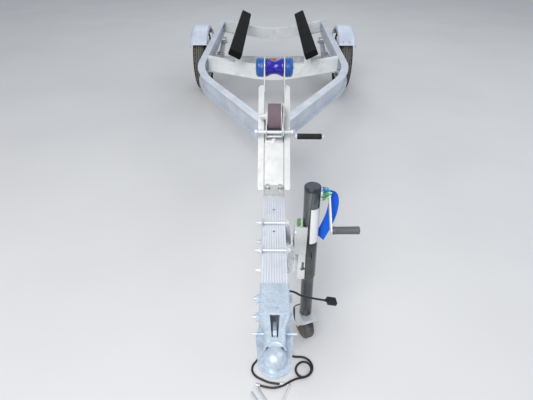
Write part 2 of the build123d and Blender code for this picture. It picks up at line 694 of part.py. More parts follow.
def coupler():
    """Pressed coupler: rear channel, raised neck with a slot, ball dome and turned-down rim."""
    low = COUPLER_LOW
    wall = COUPLER_WALL
    channel = box(-COUPLER_HALF, COUPLER_HALF, SHOULDER_Y - 2, COUPLER_REAR, low, COUPLER_TOP)
    channel = fillet(channel.edges().filter_by(Axis.Y).group_by(Axis.Z)[-1], 5)
    channel = channel - box(-COUPLER_HALF + wall, COUPLER_HALF - wall, SHOULDER_Y - 3, COUPLER_REAR + 1,
                            low - 1, TONGUE_TOP + RUN)
    rim = coupler_rim(0, low, low + RIM_HEIGHT) - coupler_rim(wall, low - 1, low + RIM_HEIGHT - wall)
    body = coupler_neck(0) - coupler_neck(wall)
    ridge = Pos(0, BALL_Y + 3, COUPLER_TOP - 13.5) * Torus(DOME_RADIUS - 3, 3)
    ridge = ridge - box(-40, 40, BALL_Y - 40, BALL_Y + 8, low, COUPLER_TOP + 5)
    dome = rod_z(0, BALL_Y, low, SOCKET_Z, DOME_RADIUS) + Pos(0, BALL_Y, SOCKET_Z) * Sphere(DOME_RADIUS)
    body = channel + rim + body + dome + ridge
    socket = DOME_RADIUS - DOME_WALL
    body = body - rod_z(0, BALL_Y, low - 30, SOCKET_Z, socket) - Pos(0, BALL_Y, SOCKET_Z) * Sphere(socket)
    front = BALL_Y + DOME_RADIUS + 12
    slot = prism_z([(-13, SHOULDER_Y - 4), (13, SHOULDER_Y - 4), (8, front), (-8, front)],
                   low + RIM_HEIGHT, COUPLER_TOP + 1)
    body = body - slot - rod_z(7, SHOULDER_Y + 18, TONGUE_TOP, COUPLER_TOP + 1, 2.6)
    return body + coupler_fasteners()


def coupler_latch():
    """Latch lever that lies in the neck's slot, with its bump."""
    low = COUPLER_LOW + RIM_HEIGHT + RUN
    rear, front = SHOULDER_Y - 8, BALL_Y + DOME_RADIUS + 14
    top = COUPLER_TOP
    profile = [(rear, low), (rear, top - 26), (front + 24, top - 15), (front + 14, top - 5),
               (front + 4, top - 8), (front, top - 16), (front, low)]
    pin_y = SHOULDER_Y - SHOULDER_LENGTH + 3
    return prism_x(profile, -5, 5) - rod_x(-9, 9, pin_y, COUPLER_BOLT_Z - 4, 3.2 + RUN)


# Winch post
POST_RISE = radians(POST_LEAN)
POST_FRONT = (0, -sin(POST_RISE), cos(POST_RISE))
POST = Plane(origin=(0, POST_FOOT_Y, POST_FOOT_Z), x_dir=(1, 0, 0), z_dir=POST_FRONT)


def on_post(shape):
    """Carry a piece modelled in the post's axes to its place."""
    return POST.location * shape


def post_arm():
    """Right-hand side arm with its turned-out lip, in the post's axes."""
    inside = POST_INSIDE / 2
    end = ROLLER_S + 18
    outline = [(0, 0), (POST_LENGTH + 22, 0), (ROLLER_S - 14, 17), (ROLLER_S + 14, 15), (end, -14),
               (ROLLER_S - 6, -22), (POST_LENGTH, -POST_DEPTH * 0.75), (70, -POST_DEPTH), (58, -POST_DEPTH)]
    arm = prism_x(outline, inside, inside + POST_PLATE)
    edge = POST_OVER_LIPS / 2
    lip = prism_z([(inside, -4), (edge - 5, -4), (edge, 3), (edge, POST_LENGTH - 8), (edge - 8, POST_LENGTH),
                   (inside, POST_LENGTH)], -POST_PLATE, 0)
    return arm + lip - rod_x(0, 100, ROLLER_S, 0, ROLLER_PIN + 0.05)


def post_foot():
    """Foot plate on the tongue with its slots and two bolt heads."""
    inside = POST_INSIDE / 2
    front = POST_FOOT_Y - FOOT_OVERHANG
    top = TONGUE_TOP + POST_PLATE
    foot = box(-inside, inside, front, front + FOOT_LENGTH, TONGUE_TOP, top)
    for x in (-25, 0, 25):
        foot = foot - box(x - 8, x + 8, front + 8, front + 13, TONGUE_TOP - 1, top + 1)
    for x in (-24, 24):
        foot = foot + rod_z(x, front + 46, top, top + 7, 9)
    return foot


def winch_post():
    """Two side arms joined by a web that steps back under the winch, with a foot on the tongue."""
    inside = POST_INSIDE / 2
    arm = post_arm()
    web = box(-inside, inside, WEB_LOW, WEB_STEP, -POST_PLATE, 0)
    for x in (-24, 24):
        web = web - rod_z(x, WEB_LOW, -POST_PLATE - 1, 1, NOTCH_RADIUS)
    web = web + box(-inside, inside, WEB_STEP - POST_PLATE, WEB_STEP, -WEB_RECESS - POST_PLATE, 0)
    web = web + box(-inside, inside, WEB_STEP - POST_PLATE, WEB_HIGH, -WEB_RECESS - POST_PLATE, -WEB_RECESS)
    post = on_post(arm + arm.mirror(Plane.YZ) + web)
    front, rear = POST_FOOT_Y - FOOT_OVERHANG - 90, POST_FOOT_Y + 400
    post = post - box(-HALF_TONGUE - 0.1, HALF_TONGUE + 0.1, front, rear, 0, TONGUE_TOP)
    post = post - box(-100, 100, front, rear, 0, TONGUE_MID)
    return post + post_foot()


def roller_pieces():
    """Hourglass bow roller between the arms, the end bells outside them, and the pin."""
    inside = POST_INSIDE / 2
    half = inside - ROLLER_GAP
    bore = ROLLER_PIN + 0.05
    rim_radius = ROLLER_RADIUS - 2.5
    plane = Plane(origin=(0, ROLLER_S, 0), x_dir=(1, 0, 0), z_dir=(0, 0, 1))
    spin = Axis((0, ROLLER_S, 0), (1, 0, 0))
    with BuildSketch() as core:
        with BuildLine():
            Polyline((-half, bore), (-half, rim_radius), (-half + 8, rim_radius))
            ThreePointArc((-half + 8, rim_radius), (0, ROLLER_WAIST), (half - 8, rim_radius))
            Polyline((half - 8, rim_radius), (half, rim_radius), (half, bore), (-half, bore))
        make_face()
    core_solid = revolve(plane * core.sketch, spin, 360)
    start, end = inside + POST_PLATE + ROLLER_GAP, ROLLER_LENGTH / 2
    bell_points = [(start, bore), (start, ROLLER_RADIUS - 2), (start + 4, ROLLER_RADIUS),
                   (end - 11, ROLLER_RADIUS),
                   (end - 4, ROLLER_RADIUS - 4), (end, ROLLER_RADIUS - 12), (end, bore)]
    bell = revolve(plane * make_face(Polyline(*bell_points, close=True)), spin, 360)
    pin = rod_x(-end - 5, end + 5, ROLLER_S, 0, ROLLER_PIN)
    return on_post(core_solid), on_post(Compound(children=[bell, bell.mirror(Plane.YZ)])), on_post(pin)


# Winch: the large gear and its pinion run outside the right-hand side plate
WINCH_HALF = WINCH_INSIDE / 2 + WINCH_PLATE
GEAR_X = WINCH_HALF + 1
CENTRES = sqrt((DRUM_S - CRANK_S) ** 2 + (DRUM_H - CRANK_H) ** 2)
GEAR_RADIUS = CENTRES * GEAR_TEETH / (GEAR_TEETH + PINION_TEETH)
PINION_RADIUS = CENTRES - GEAR_RADIUS
TO_CRANK = atan2(CRANK_H - DRUM_H, CRANK_S - DRUM_S)

# One tooth: (place along its pitch, distance from the pitch circle)
TOOTH = ((0.0, -TOOTH_BELOW), (0.18, TOOTH_ABOVE), (0.42, TOOTH_ABOVE), (0.60, -TOOTH_BELOW))
TOOTH_MIDDLE = 0.30
GAP_MIDDLE = 0.80


def gear(s, h, pitch_radius, teeth, towards, part):
    """Spur gear on an axis along X; the given part of a tooth's pitch lies in that direction."""
    step = 2 * pi / teeth
    points = []
    for index in range(teeth):
        for place, height in TOOTH:
            angle = towards + step * (index + place - part)
            radius = pitch_radius + height
            points.append((s + radius * cos(angle), h + radius * sin(angle)))
    return prism_x(points, GEAR_X, GEAR_X + GEAR_THICK)


def winch_frame():
    """Pressed winch frame: base bolted to the web, two side plates and a cross bar."""
    inside = WINCH_INSIDE / 2
    base_h = -WEB_RECESS
    top_h = base_h + WINCH_PLATE
    base = box(-WINCH_HALF, WINCH_HALF, CRANK_S - 27, DRUM_S + 19, base_h, top_h)
    base = base + rod_z(0, CRANK_S - 9, top_h, top_h + 2, 10)
    base = base + hex_z(0, CRANK_S - 9, top_h + 2, top_h + 8, 13)
    outline = [(CRANK_S - 23, base_h), (DRUM_S + 17, base_h), (DRUM_S + 41, DRUM_H - 12),
               (DRUM_S + 37, DRUM_H + 14), (DRUM_S + 9, DRUM_H + 26), (CRANK_S - 3, CRANK_H + 14),
               (CRANK_S - 17, CRANK_H - 6)]
    side = prism_x(outline, inside, WINCH_HALF)
    frame = base + side + side.mirror(Plane.YZ) + rod_x(-inside, inside, CRANK_S - 12, CRANK_H - 18, 5)
    for s, h, radius in ((DRUM_S, DRUM_H, 8.0), (CRANK_S, CRANK_H, 6.5)):
        frame = frame - rod_x(-60, 60, s, h, radius + RUN)
    return on_post(frame)


def winch_drum():
    """Drum shaft with its two cheeks, the large gear and the nut at its left end."""
    edge = STRAP_WIDTH / 2
    drum = rod_x(-WINCH_HALF - 25.5, GEAR_X + GEAR_THICK + 6.5, DRUM_S, DRUM_H, 8)
    drum = drum + rod_x(-edge - 2, edge + 2, DRUM_S, DRUM_H, DRUM_CORE)
    drum = drum + rod_x(-edge - 3, -edge - RUN, DRUM_S, DRUM_H, 40)
    drum = drum + rod_x(edge + RUN, edge + 2.8, DRUM_S, DRUM_H, 48)
    drum = drum + gear(DRUM_S, DRUM_H, GEAR_RADIUS, GEAR_TEETH, TO_CRANK, TOOTH_MIDDLE)
    drum = drum + hex_x(-WINCH_HALF - 17.5, -WINCH_HALF - RUN, DRUM_S, DRUM_H, 22)
    return on_post(drum)


def winch_strap():
    """Webbing wound on the drum."""
    edge = STRAP_WIDTH / 2
    roll = rod_x(-edge, edge, DRUM_S, DRUM_H, STRAP_ROLL_RADIUS)
    return on_post(roll - rod_x(-edge - 1, edge + 1, DRUM_S, DRUM_H, DRUM_CORE + RUN))


def crank_places():
    """Centre (y, z) of the winch crank's shaft and of its grip."""
    centre = POST.from_local_coords((0, CRANK_S, CRANK_H))
    rise = radians(CRANK_ARM_RISE)
    return (centre.Y, centre.Z), (centre.Y - CRANK_ARM * cos(rise), centre.Z + CRANK_ARM * sin(rise))


def winch_crank():
    """Crank shaft with its pinion, and the flat arm parked pointing forward."""
    (shaft_y, shaft_z), (end_y, end_z) = crank_places()
    shaft = rod_x(CRANK_LEFT_X, CRANK_ARM_X, CRANK_S, CRANK_H, 6.5)
    shaft = shaft + gear(CRANK_S, CRANK_H, PINION_RADIUS, PINION_TEETH, TO_CRANK + pi, GAP_MIDDLE)
    shaft = shaft + hex_x(CRANK_ARM_X - 12, CRANK_ARM_X, CRANK_S, CRANK_H, 18)
    shaft = shaft + hex_x(CRANK_LEFT_X + 2, CRANK_LEFT_X + 10, CRANK_S, CRANK_H, 19)
    arm = Pos(0, -CRANK_ARM / 2, 0) * Box(6, CRANK_ARM + 22, 22)
    arm = fillet(arm.edges().filter_by(Axis.X), 10)
    arm = Pos(CRANK_ARM_X, shaft_y, shaft_z) * Rot(-CRANK_ARM_RISE, 0, 0) * arm
    return on_post(shaft) + arm + rod_x(CRANK_ARM_X, CRANK_ARM_X + 11 + WINCH_GRIP_LENGTH, end_y, end_z, 5)


def winch_grip():
    """Black grip on the crank's stub."""
    y, z = crank_places()[1]
    x0 = CRANK_ARM_X + 4
    grip = fillet(rod_x(x0, x0 + WINCH_GRIP_LENGTH, y, z, WINCH_GRIP_RADIUS).edges(), 3)
    return grip - rod_x(x0 - 1, x0 + WINCH_GRIP_LENGTH + 5, y, z, 5 + RUN)


# Jack: round pieces are modelled upright about the origin, with Z = 0 at the swivel's height
JACK = Pos(JACK_X, JACK_Y, JACK_PIVOT_Z) * Rot(0, -JACK_LEAN, 0)
WHEEL_TILT = cos(radians(CASTER_ANGLE)) * sin(radians(JACK_LEAN))
WHEEL_CENTRE_Z = CASTER_WHEEL_RADIUS * sqrt(1 - WHEEL_TILT ** 2) + (CASTER_WHEEL_WIDTH / 2 - 8) * WHEEL_TILT
TRAIL_DROP = CASTER_TRAIL * sin(radians(CASTER_ANGLE)) * sin(radians(JACK_LEAN))
WHEEL_LOCAL_Z = (WHEEL_CENTRE_Z - JACK_PIVOT_Z + TRAIL_DROP) / cos(radians(JACK_LEAN))
FORK_TOP = WHEEL_LOCAL_Z + CASTER_WHEEL_RADIUS + CASTER_GAP + FORK_PLATE
FORK_HALF = CASTER_WHEEL_WIDTH / 2 + CASTER_GAP


def jack_bracket():
    """Bracket clamped to the tongue: hat plate on the right, ears on the left and four bolts."""
    near, crown = HALF_TONGUE + RUN, SWIVEL_PLATE_X
    flange = near + SWIVEL_PLATE
    front, rear = CLAMP_YS
    outline = [(near, front - CLAMP_EDGE), (flange, front - CLAMP_EDGE), (flange, front + 8),
               (crown, front + 20), (crown, rear - 20), (flange, rear - 8), (flange, rear + CLAMP_EDGE),
               (near, rear + CLAMP_EDGE), (near, rear - 11), (crown - SWIVEL_PLATE, rear - 23),
               (crown - SWIVEL_PLATE, front + 23), (near, front + 11)]
    hat = prism_z(outline, TONGUE_BOTTOM - 14, TONGUE_TOP + 12)
    bracket = hat + rod_x(crown, crown + SWIVEL_PLATE, JACK_Y, JACK_PIVOT_Z, SWIVEL_RADIUS)
    bracket = bracket + rod_x(crown, crown + 2 * SWIVEL_PLATE + RUN, JACK_Y, JACK_PIVOT_Z, PIVOT_RADIUS)
    for y in CLAMP_YS:
        bracket = bracket + box(-flange, -near, y - 17, y + 17, TONGUE_BOTTOM - 16, TONGUE_TOP + 16)
        for z in (TONGUE_TOP + CLAMP_BOLT + 0.5, TONGUE_BOTTOM - CLAMP_BOLT - 0.5):
            bracket = bracket + rod_x(-flange - 16, flange + 9, y, z, CLAMP_BOLT)
            bracket = bracket + hex_x(-flange - 8, -flange, y, z, 16) + hex_x(flange, flange + 6, y, z, 16)
    return bracket


def jack_plates():
    """Swivel plate, its front and back walls and the keyhole plate, all upright."""
    x0 = SWIVEL_PLATE_X + SWIVEL_PLATE + RUN
    x1 = x0 + SWIVEL_PLATE
    low, high = JACK_PIVOT_Z - 72, JACK_PIVOT_Z + 95
    front, back = JACK_Y - JACK_TUBE_RADIUS + 5, JACK_Y + JACK_TUBE_RADIUS - 5
    plates = box(x0, x1, front - 10, back + 10, low, high)
    plates = plates + box(x0, JACK_X - 13, front - 6, front, JACK_PIVOT_Z + 3, high + 18)
    plates = plates + box(x0, JACK_X - 13, back, back + 6, low, high - 25)
    keyhole_x, keyhole_z = JACK_X - 20, JACK_PIVOT_Z - 67
    lower = box(JACK_X - 37, JACK_X - 7, front - 2, front + 3, JACK_PIVOT_Z - 116, JACK_PIVOT_Z + 6)
    lower = lower - Pos(keyhole_x, front, keyhole_z) * Rot(90, 0, 0) * Cylinder(8, 30)
    lower = lower - box(keyhole_x - 4, keyhole_x + 4, front - 9, front + 9, keyhole_z, keyhole_z + 30)
    plates = plates + lower
    return plates - rod_x(x0 - 1, x1 + 1, JACK_Y, JACK_PIVOT_Z, PIVOT_RADIUS + 0.05)


def jack_tube():
    """Outer jack tube with its gear housing and the plates that carry it on the swivel."""
    tube = rod_z(0, 0, -JACK_BELOW, JACK_ABOVE - JACK_CAP_HEIGHT, JACK_TUBE_RADIUS)
    tube = tube + rod_x(JACK_TUBE_RADIUS - 3, JACK_TUBE_RADIUS + 11, 0, JACK_CRANK_HEIGHT, 11)
    bore = JACK_TUBE_RADIUS - JACK_TUBE_WALL
    hollow = rod_z(0, 0, -JACK_BELOW - 10, JACK_ABOVE - JACK_CAP_HEIGHT - 2, bore)
    return JACK * tube + jack_plates() - JACK * hollow


def jack_cap():
    """Domed plastic cap on the jack."""
    cap = rod_z(0, 0, JACK_ABOVE - JACK_CAP_HEIGHT + RUN, JACK_ABOVE, JACK_TUBE_RADIUS)
    return JACK * fillet(cap.edges().group_by(Axis.Z)[-1], 4)


def jack_grip_place():
    """Upright (y, z) place of the jack crank's grip."""
    angle = radians(JACK_ARM_ANGLE)
    return -JACK_ARM * sin(angle), JACK_CRANK_HEIGHT - JACK_ARM * cos(angle)


def jack_crank():
    """Crank shaft, flat arm and grip stub of the jack."""
    y, z = jack_grip_place()
    shaft = rod_x(JACK_TUBE_RADIUS + 11, JACK_CRANK_REACH, 0, JACK_CRANK_HEIGHT, 6)
    arm = Pos(0, 0, -JACK_ARM / 2) * Box(5, 20, JACK_ARM + 20)
    arm = fillet(arm.edges().filter_by(Axis.X), 9)
    arm = Pos(JACK_CRANK_REACH, 0, JACK_CRANK_HEIGHT) * Rot(-JACK_ARM_ANGLE, 0, 0) * arm
    return JACK * (shaft + arm + rod_x(JACK_CRANK_REACH, JACK_CRANK_REACH + JACK_GRIP_LENGTH + 9, y, z, 4.5))


def jack_grip():
    """Grip on the jack's crank."""
    y, z = jack_grip_place()
    x0 = JACK_CRANK_REACH + 4
    grip = fillet(rod_x(x0, x0 + JACK_GRIP_LENGTH, y, z, JACK_GRIP_RADIUS).edges(), 3)
    return JACK * (grip - rod_x(x0 - 1, x0 + JACK_GRIP_LENGTH + 9, y, z, 4.5 + RUN))


def jack_ram():
    """Inner tube of the jack."""
    foot = FORK_TOP + RUN
    ram = rod_z(0, 0, foot, foot + RAM_LENGTH, RAM_RADIUS)
    ram = ram - rod_z(0, 0, foot + 8, foot + RAM_LENGTH + 1, RAM_RADIUS - RAM_WALL)
    return JACK * (ram - rod_z(0, 0, foot - 1, foot + 9, 7.05))


def caster_fork():
    """Bent fork with its stem and axle bolt."""
    outer = FORK_HALF + FORK_PLATE
    y, z = CASTER_TRAIL, WHEEL_LOCAL_Z
    crown = box(-outer, outer, -FORK_FRONT, y + 20, FORK_TOP - FORK_PLATE, FORK_TOP)
    lip = box(-outer, outer, -FORK_FRONT, FORK_PLATE - FORK_FRONT, FORK_TOP - FORK_LIP, FORK_TOP)
    fork = crown + lip + rod_z(0, 0, FORK_TOP, FORK_TOP + 8, 7)
    cheek = [(-FORK_FRONT, FORK_TOP), (y + 20, FORK_TOP), (y + 16, z), (y + 8, z - 14), (y - 8, z - 14),
             (y - 18, z + 6), (-FORK_FRONT, FORK_TOP - FORK_LIP)]
    for x in (-outer, FORK_HALF):
        fork = fork + prism_x(cheek, x, x + FORK_PLATE)
    fork = fork + rod_x(-outer - 3, outer + 3, y, z, 6)
    fork = fork + hex_x(-outer - 7, -outer, y, z, 17) + hex_x(outer, outer + 7, y, z, 17)
    return JACK * Rot(0, 0, CASTER_ANGLE) * fork


def caster_wheel():
    """Jack wheel with a crowned tread."""
    w, r = CASTER_WHEEL_WIDTH / 2, CASTER_WHEEL_RADIUS
    half = [(w - 8, r), (w - 2, r - 3), (w, r - 9), (w, r - 16), (w - 6, r - 22), (w - 6, 24),
            (w, 20), (w, 6.05)]
    points = half + [(-x, y) for x, y in reversed(half)]
    plane = Plane(origin=(0, CASTER_TRAIL, WHEEL_LOCAL_Z), x_dir=(1, 0, 0), z_dir=(0, -1, 0))
    spin = Axis((0, CASTER_TRAIL, WHEEL_LOCAL_Z), (1, 0, 0))
    wheel = revolve(plane * make_face(Polyline(*points, close=True)), spin, 360)
    return JACK * Rot(0, 0, CASTER_ANGLE) * wheel


# Cords
def cord_path(points):
    """Straight runs joined by tangent arcs, each as large as its two runs allow."""
    spots = [Vector(*point) for point in points]
    runs = [after - before for before, after in zip(spots, spots[1:])]
    radii = []
    for run, following in zip(runs, runs[1:]):
        shorter = min(run.length, following.length)
        radii.append(0.45 * shorter / tan(radians(run.get_angle(following)) / 2))
    return FilletPolyline(*spots, radius=radii), radii


def cord(name, points, section):
    """Store a cord swept along its route, and print its bends and its volume against its length."""
    path, radii = cord_path(points)
    start = Plane(origin=path @ 0, x_dir=(0, 1, 0), z_dir=path % 0)
    PARTS[name] = sweep(start * section, path=path)
    ratio = PARTS[name].volume / (section.area * path.length)
    print(name, "length", round(path.length), "radii", [round(radius) for radius in radii],
          "volume ratio", round(ratio, 4))


def cords():
    """The two safety cables, the trailer lead and the tie strap on the jack."""
    cord("safety_cable_left", CABLE_LEFT, Circle(CABLE_RADIUS))
    cord("safety_cable_right", CABLE_RIGHT, Circle(CABLE_RADIUS))
    cord("trailer_lead", LEAD, Circle(LEAD_RADIUS))
    cord("tie_strap", [(x, JACK_Y, z) for x, z in TIE], Rectangle(TIE_WIDTH, TIE_THICK))


def cable_anchors():
    """Plate under the tongue with the two cable sleeves and the lead's clip."""
    low = TONGUE_BOTTOM - 5
    plate = box(-ANCHOR_X - 12, ANCHOR_X + 18, ANCHOR_Y - 13, ANCHOR_Y + 13, low, TONGUE_BOTTOM)
    for x in (-ANCHOR_X, ANCHOR_X):
        plate = plate + rod_z(x, ANCHOR_Y, ANCHOR_LOW, low, 6)
    x, y, z = LEAD[0]
    return plate + box(ANCHOR_X + 12, x, y - 7, y + 7, z - 6, low)


def cable_hook(cable, corners, bends):
    """Crimped sleeve on a cable's end and the bent hook that leaves it, lying on the ground."""
    end, before = Vector(*cable[-1]), Vector(*cable[-2])
    sleeve = Pos(0, 0, SLEEVE_LENGTH / 2) * Cylinder(SLEEVE_RADIUS, SLEEVE_LENGTH)
    sleeve = Plane(origin=end, z_dir=end - before) * sleeve
    path = FilletPolyline(*[(x, y, HOOK_Z) for x, y in corners], radius=list(bends))
    rod = sweep(Plane(origin=path @ 0, z_dir=path % 0) * Circle(HOOK_RADIUS), path=path)
    return sleeve + rod


def cable_hooks():
    """Hooks at the free ends of both safety cables, which cross over."""
    right = cable_hook(CABLE_LEFT, HOOK_RIGHT, HOOK_RIGHT_BENDS)
    left = cable_hook(CABLE_RIGHT, HOOK_LEFT, HOOK_LEFT_BENDS)
    return Compound(children=[right, left])


def lead_plug():
    """Flat plug at the end of the trailer lead, with its strain relief."""
    end, before = Vector(*LEAD[-1]), Vector(*LEAD[-2])
    along = (end - before).normalized()
    plane = Plane(origin=end, x_dir=(along.Y, -along.X, 0), z_dir=along)
    relief = Pos(0, 0, 4) * Cone(4.5, 6, 8)
    body = fillet(Box(26, 14, 29).edges().filter_by(Axis.Z), 3)
    return plane * (relief + Pos(0, 0, 22) * body)


def tail_lights():
    """Housings and lenses behind the rear crossmember."""
    x, y = HALF_FRAME - 123, REAR_CROSS_Y + CROSS_DEPTH
    low, high = RAIL_BOTTOM - 31, RAIL_TOP - 20
    housing = box(x - 30, x + 30, y, y + 26, low, high)
    housing = fillet(housing.edges().filter_by(Axis.Y), 8)
    lens = box(x - 27, x + 27, y + 26 + RUN, y + 40, low + 3, high - 3)
    lens = fillet(lens.edges().filter_by(Axis.Y), 7)
    housings = Compound(children=[housing, other_side(housing)])
    return housings, Compound(children=[lens, other_side(lens)])


def build():
    """Fill PARTS with every node."""
    both_sides("side_rail", side_rail())
    PARTS["tongue_tube"] = tongue_tube()
    PARTS["tongue_gusset"] = tongue_gusset()
    PARTS["front_crossmember"] = crossmember(FRONT_CROSS_Y)
    PARTS["rear_crossmember"] = crossmember(REAR_CROSS_Y)
    PARTS["crossmember_brackets"] = crossmember_brackets()
    both_sides("bunk", bunk())
    PARTS["bunk_brackets"] = bunk_brackets()
    PARTS["axle_beam"] = axle_beam()
    both_sides("leaf_spring", leaf_spring())
    both_sides("spring_fittings", spring_fittings())
    both_sides("fender", fender())
    PARTS["fender_brackets"] = fender_brackets()
    both_sides("tyre", tyre())
    both_sides("rim", rim())
    both_sides("hub", hub())
    PARTS["coupler"] = coupler()
    PARTS["coupler_latch"] = coupler_latch()
    PARTS["winch_post"] = winch_post()
    PARTS["roller_core"], PARTS["roller_bells"], PARTS["roller_pin"] = roller_pieces()
    PARTS["winch_frame"] = winch_frame()
    PARTS["winch_drum"] = winch_drum()
    PARTS["winch_strap"] = winch_strap()
    PARTS["winch_crank"] = winch_crank()
    PARTS["winch_grip"] = winch_grip()
    PARTS["jack_bracket"] = jack_bracket()
    PARTS["jack_tube"] = jack_tube()
    PARTS["jack_cap"] = jack_cap()
    PARTS["jack_crank"] = jack_crank()
    PARTS["jack_grip"] = jack_grip()
    PARTS["jack_ram"] = jack_ram()
    PARTS["caster_fork"] = caster_fork()
    PARTS["caster_wheel"] = caster_wheel()
    PARTS["cable_anchors"] = cable_anchors()
    PARTS["cable_hooks"] = cable_hooks()
    PARTS["lead_plug"] = lead_plug()
    cords()
    PARTS["tail_light_housings"], PARTS["tail_light_lenses"] = tail_lights()


build()
os.makedirs("parts", exist_ok=True)
for node, shape in PARTS.items():
    export_step(shape, f"parts/{node}.step")
print(len(PARTS), "nodes written")
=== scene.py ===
"""Studio scene of a single-place boat trailer.

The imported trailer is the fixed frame. This script gives each of its nodes a finish, lays the
cords, adds the detail that is finer than the frame, and sets the floor, the lights and the camera.
Lengths are metres and angles degrees where no comment says otherwise, in the trailer's own axes:
+X to its right, +Y to its rear, +Z up, the ground at Z = 0.
"""

import json
import logging
from collections.abc import Callable, Iterator
from contextlib import contextmanager
from dataclasses import dataclass
from enum import Enum
from math import atan2, cos, degrees, hypot, pi, radians, sin

import bpy
from mathutils import Matrix, Vector

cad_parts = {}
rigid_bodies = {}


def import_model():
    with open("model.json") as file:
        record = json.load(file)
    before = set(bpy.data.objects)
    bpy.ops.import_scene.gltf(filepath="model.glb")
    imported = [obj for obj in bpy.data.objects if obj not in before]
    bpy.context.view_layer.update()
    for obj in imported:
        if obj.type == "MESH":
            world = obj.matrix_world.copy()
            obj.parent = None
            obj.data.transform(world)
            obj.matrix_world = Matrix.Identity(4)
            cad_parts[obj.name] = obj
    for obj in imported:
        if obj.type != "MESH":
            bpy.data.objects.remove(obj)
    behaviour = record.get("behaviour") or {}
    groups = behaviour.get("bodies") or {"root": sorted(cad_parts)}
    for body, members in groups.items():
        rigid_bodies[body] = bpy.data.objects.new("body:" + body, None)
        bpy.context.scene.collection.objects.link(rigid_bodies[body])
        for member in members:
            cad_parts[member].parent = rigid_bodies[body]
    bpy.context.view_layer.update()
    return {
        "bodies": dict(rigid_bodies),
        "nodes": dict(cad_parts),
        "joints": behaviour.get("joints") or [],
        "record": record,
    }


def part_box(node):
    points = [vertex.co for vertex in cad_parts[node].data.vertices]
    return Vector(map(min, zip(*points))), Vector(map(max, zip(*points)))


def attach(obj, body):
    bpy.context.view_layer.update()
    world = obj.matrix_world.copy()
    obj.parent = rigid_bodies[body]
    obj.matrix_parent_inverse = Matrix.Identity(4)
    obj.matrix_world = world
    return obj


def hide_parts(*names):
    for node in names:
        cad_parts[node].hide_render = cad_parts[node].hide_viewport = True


LOG = logging.getLogger("boat_trailer")

Point = tuple[float, float, float]
Profile = list[tuple[float, float]]
Span = tuple[float, float]
Socket = bpy.types.NodeSocket
Value = Socket | float | tuple[float, ...]
Bump = tuple[Socket, float, float]

# A noise as (features per metre, finer layers), and a relief as (strength, height)
Noise = tuple[float, float]
Relief = tuple[float, float]

MM = 0.001
MERGE_GAP = 0.000002
SEED_SIZE = 0.01
CORD_STEPS = 10
SIDES = ((1, "right"), (-1, "left"))
AXLE_Y = 1.27
AXLE_Z = 0.266

# Where a noise field mostly lies, and the whole span of a field from zero to one
USUAL: Span = (0.3, 0.7)
FULL: Span = (0.0, 1.0)

# Radius to which materials round the edges, and the cosines between which an edge counts as worn
EDGE_RADIUS = 0.0015
EDGE_SPAN: Span = (0.80, 0.99)

# Distance between two bands of a wave at scale one, and the Mix node's sockets for colours
WAVE_PITCH = 0.1 * pi
MIX_INPUTS = (0, 6, 7)
MIX_OUTPUT = 2

# Angles above which an edge stays sharp, and above which a slab's edge is softened
SHARP = 35.0
SLAB_SHARP = 40.0
SLAB_EDGE = 50.0
BOLT_SHARP = 30.0

# Axes as two rows of (direction across the axis, its place along it)
Axis = tuple[tuple[Point, float], tuple[Point, float]]
JACK_AXIS: Axis = (((1.0, 0.0, 0.02), 0.12404), ((0.0, 1.0, 0.0), -1.56))
WHEEL_AXIS: Axis = (((0.0, 1.0, 0.0), AXLE_Y), ((0.0, 0.0, 1.0), AXLE_Z))


class Body(Enum):
    """Bodies that pieces ride on."""

    TRAILER = "trailer"
    WHEEL_LEFT = "wheel_left"
    WHEEL_RIGHT = "wheel_right"
    JACK = "jack"
    BOW_ROLLER = "bow_roller"


@dataclass(frozen=True)
class Tone:
    """A linear colour."""

    red: float
    green: float
    blue: float

    def rgba(self) -> tuple[float, float, float, float]:
        """Give the colour with full opacity."""
        return (self.red, self.green, self.blue, 1.0)


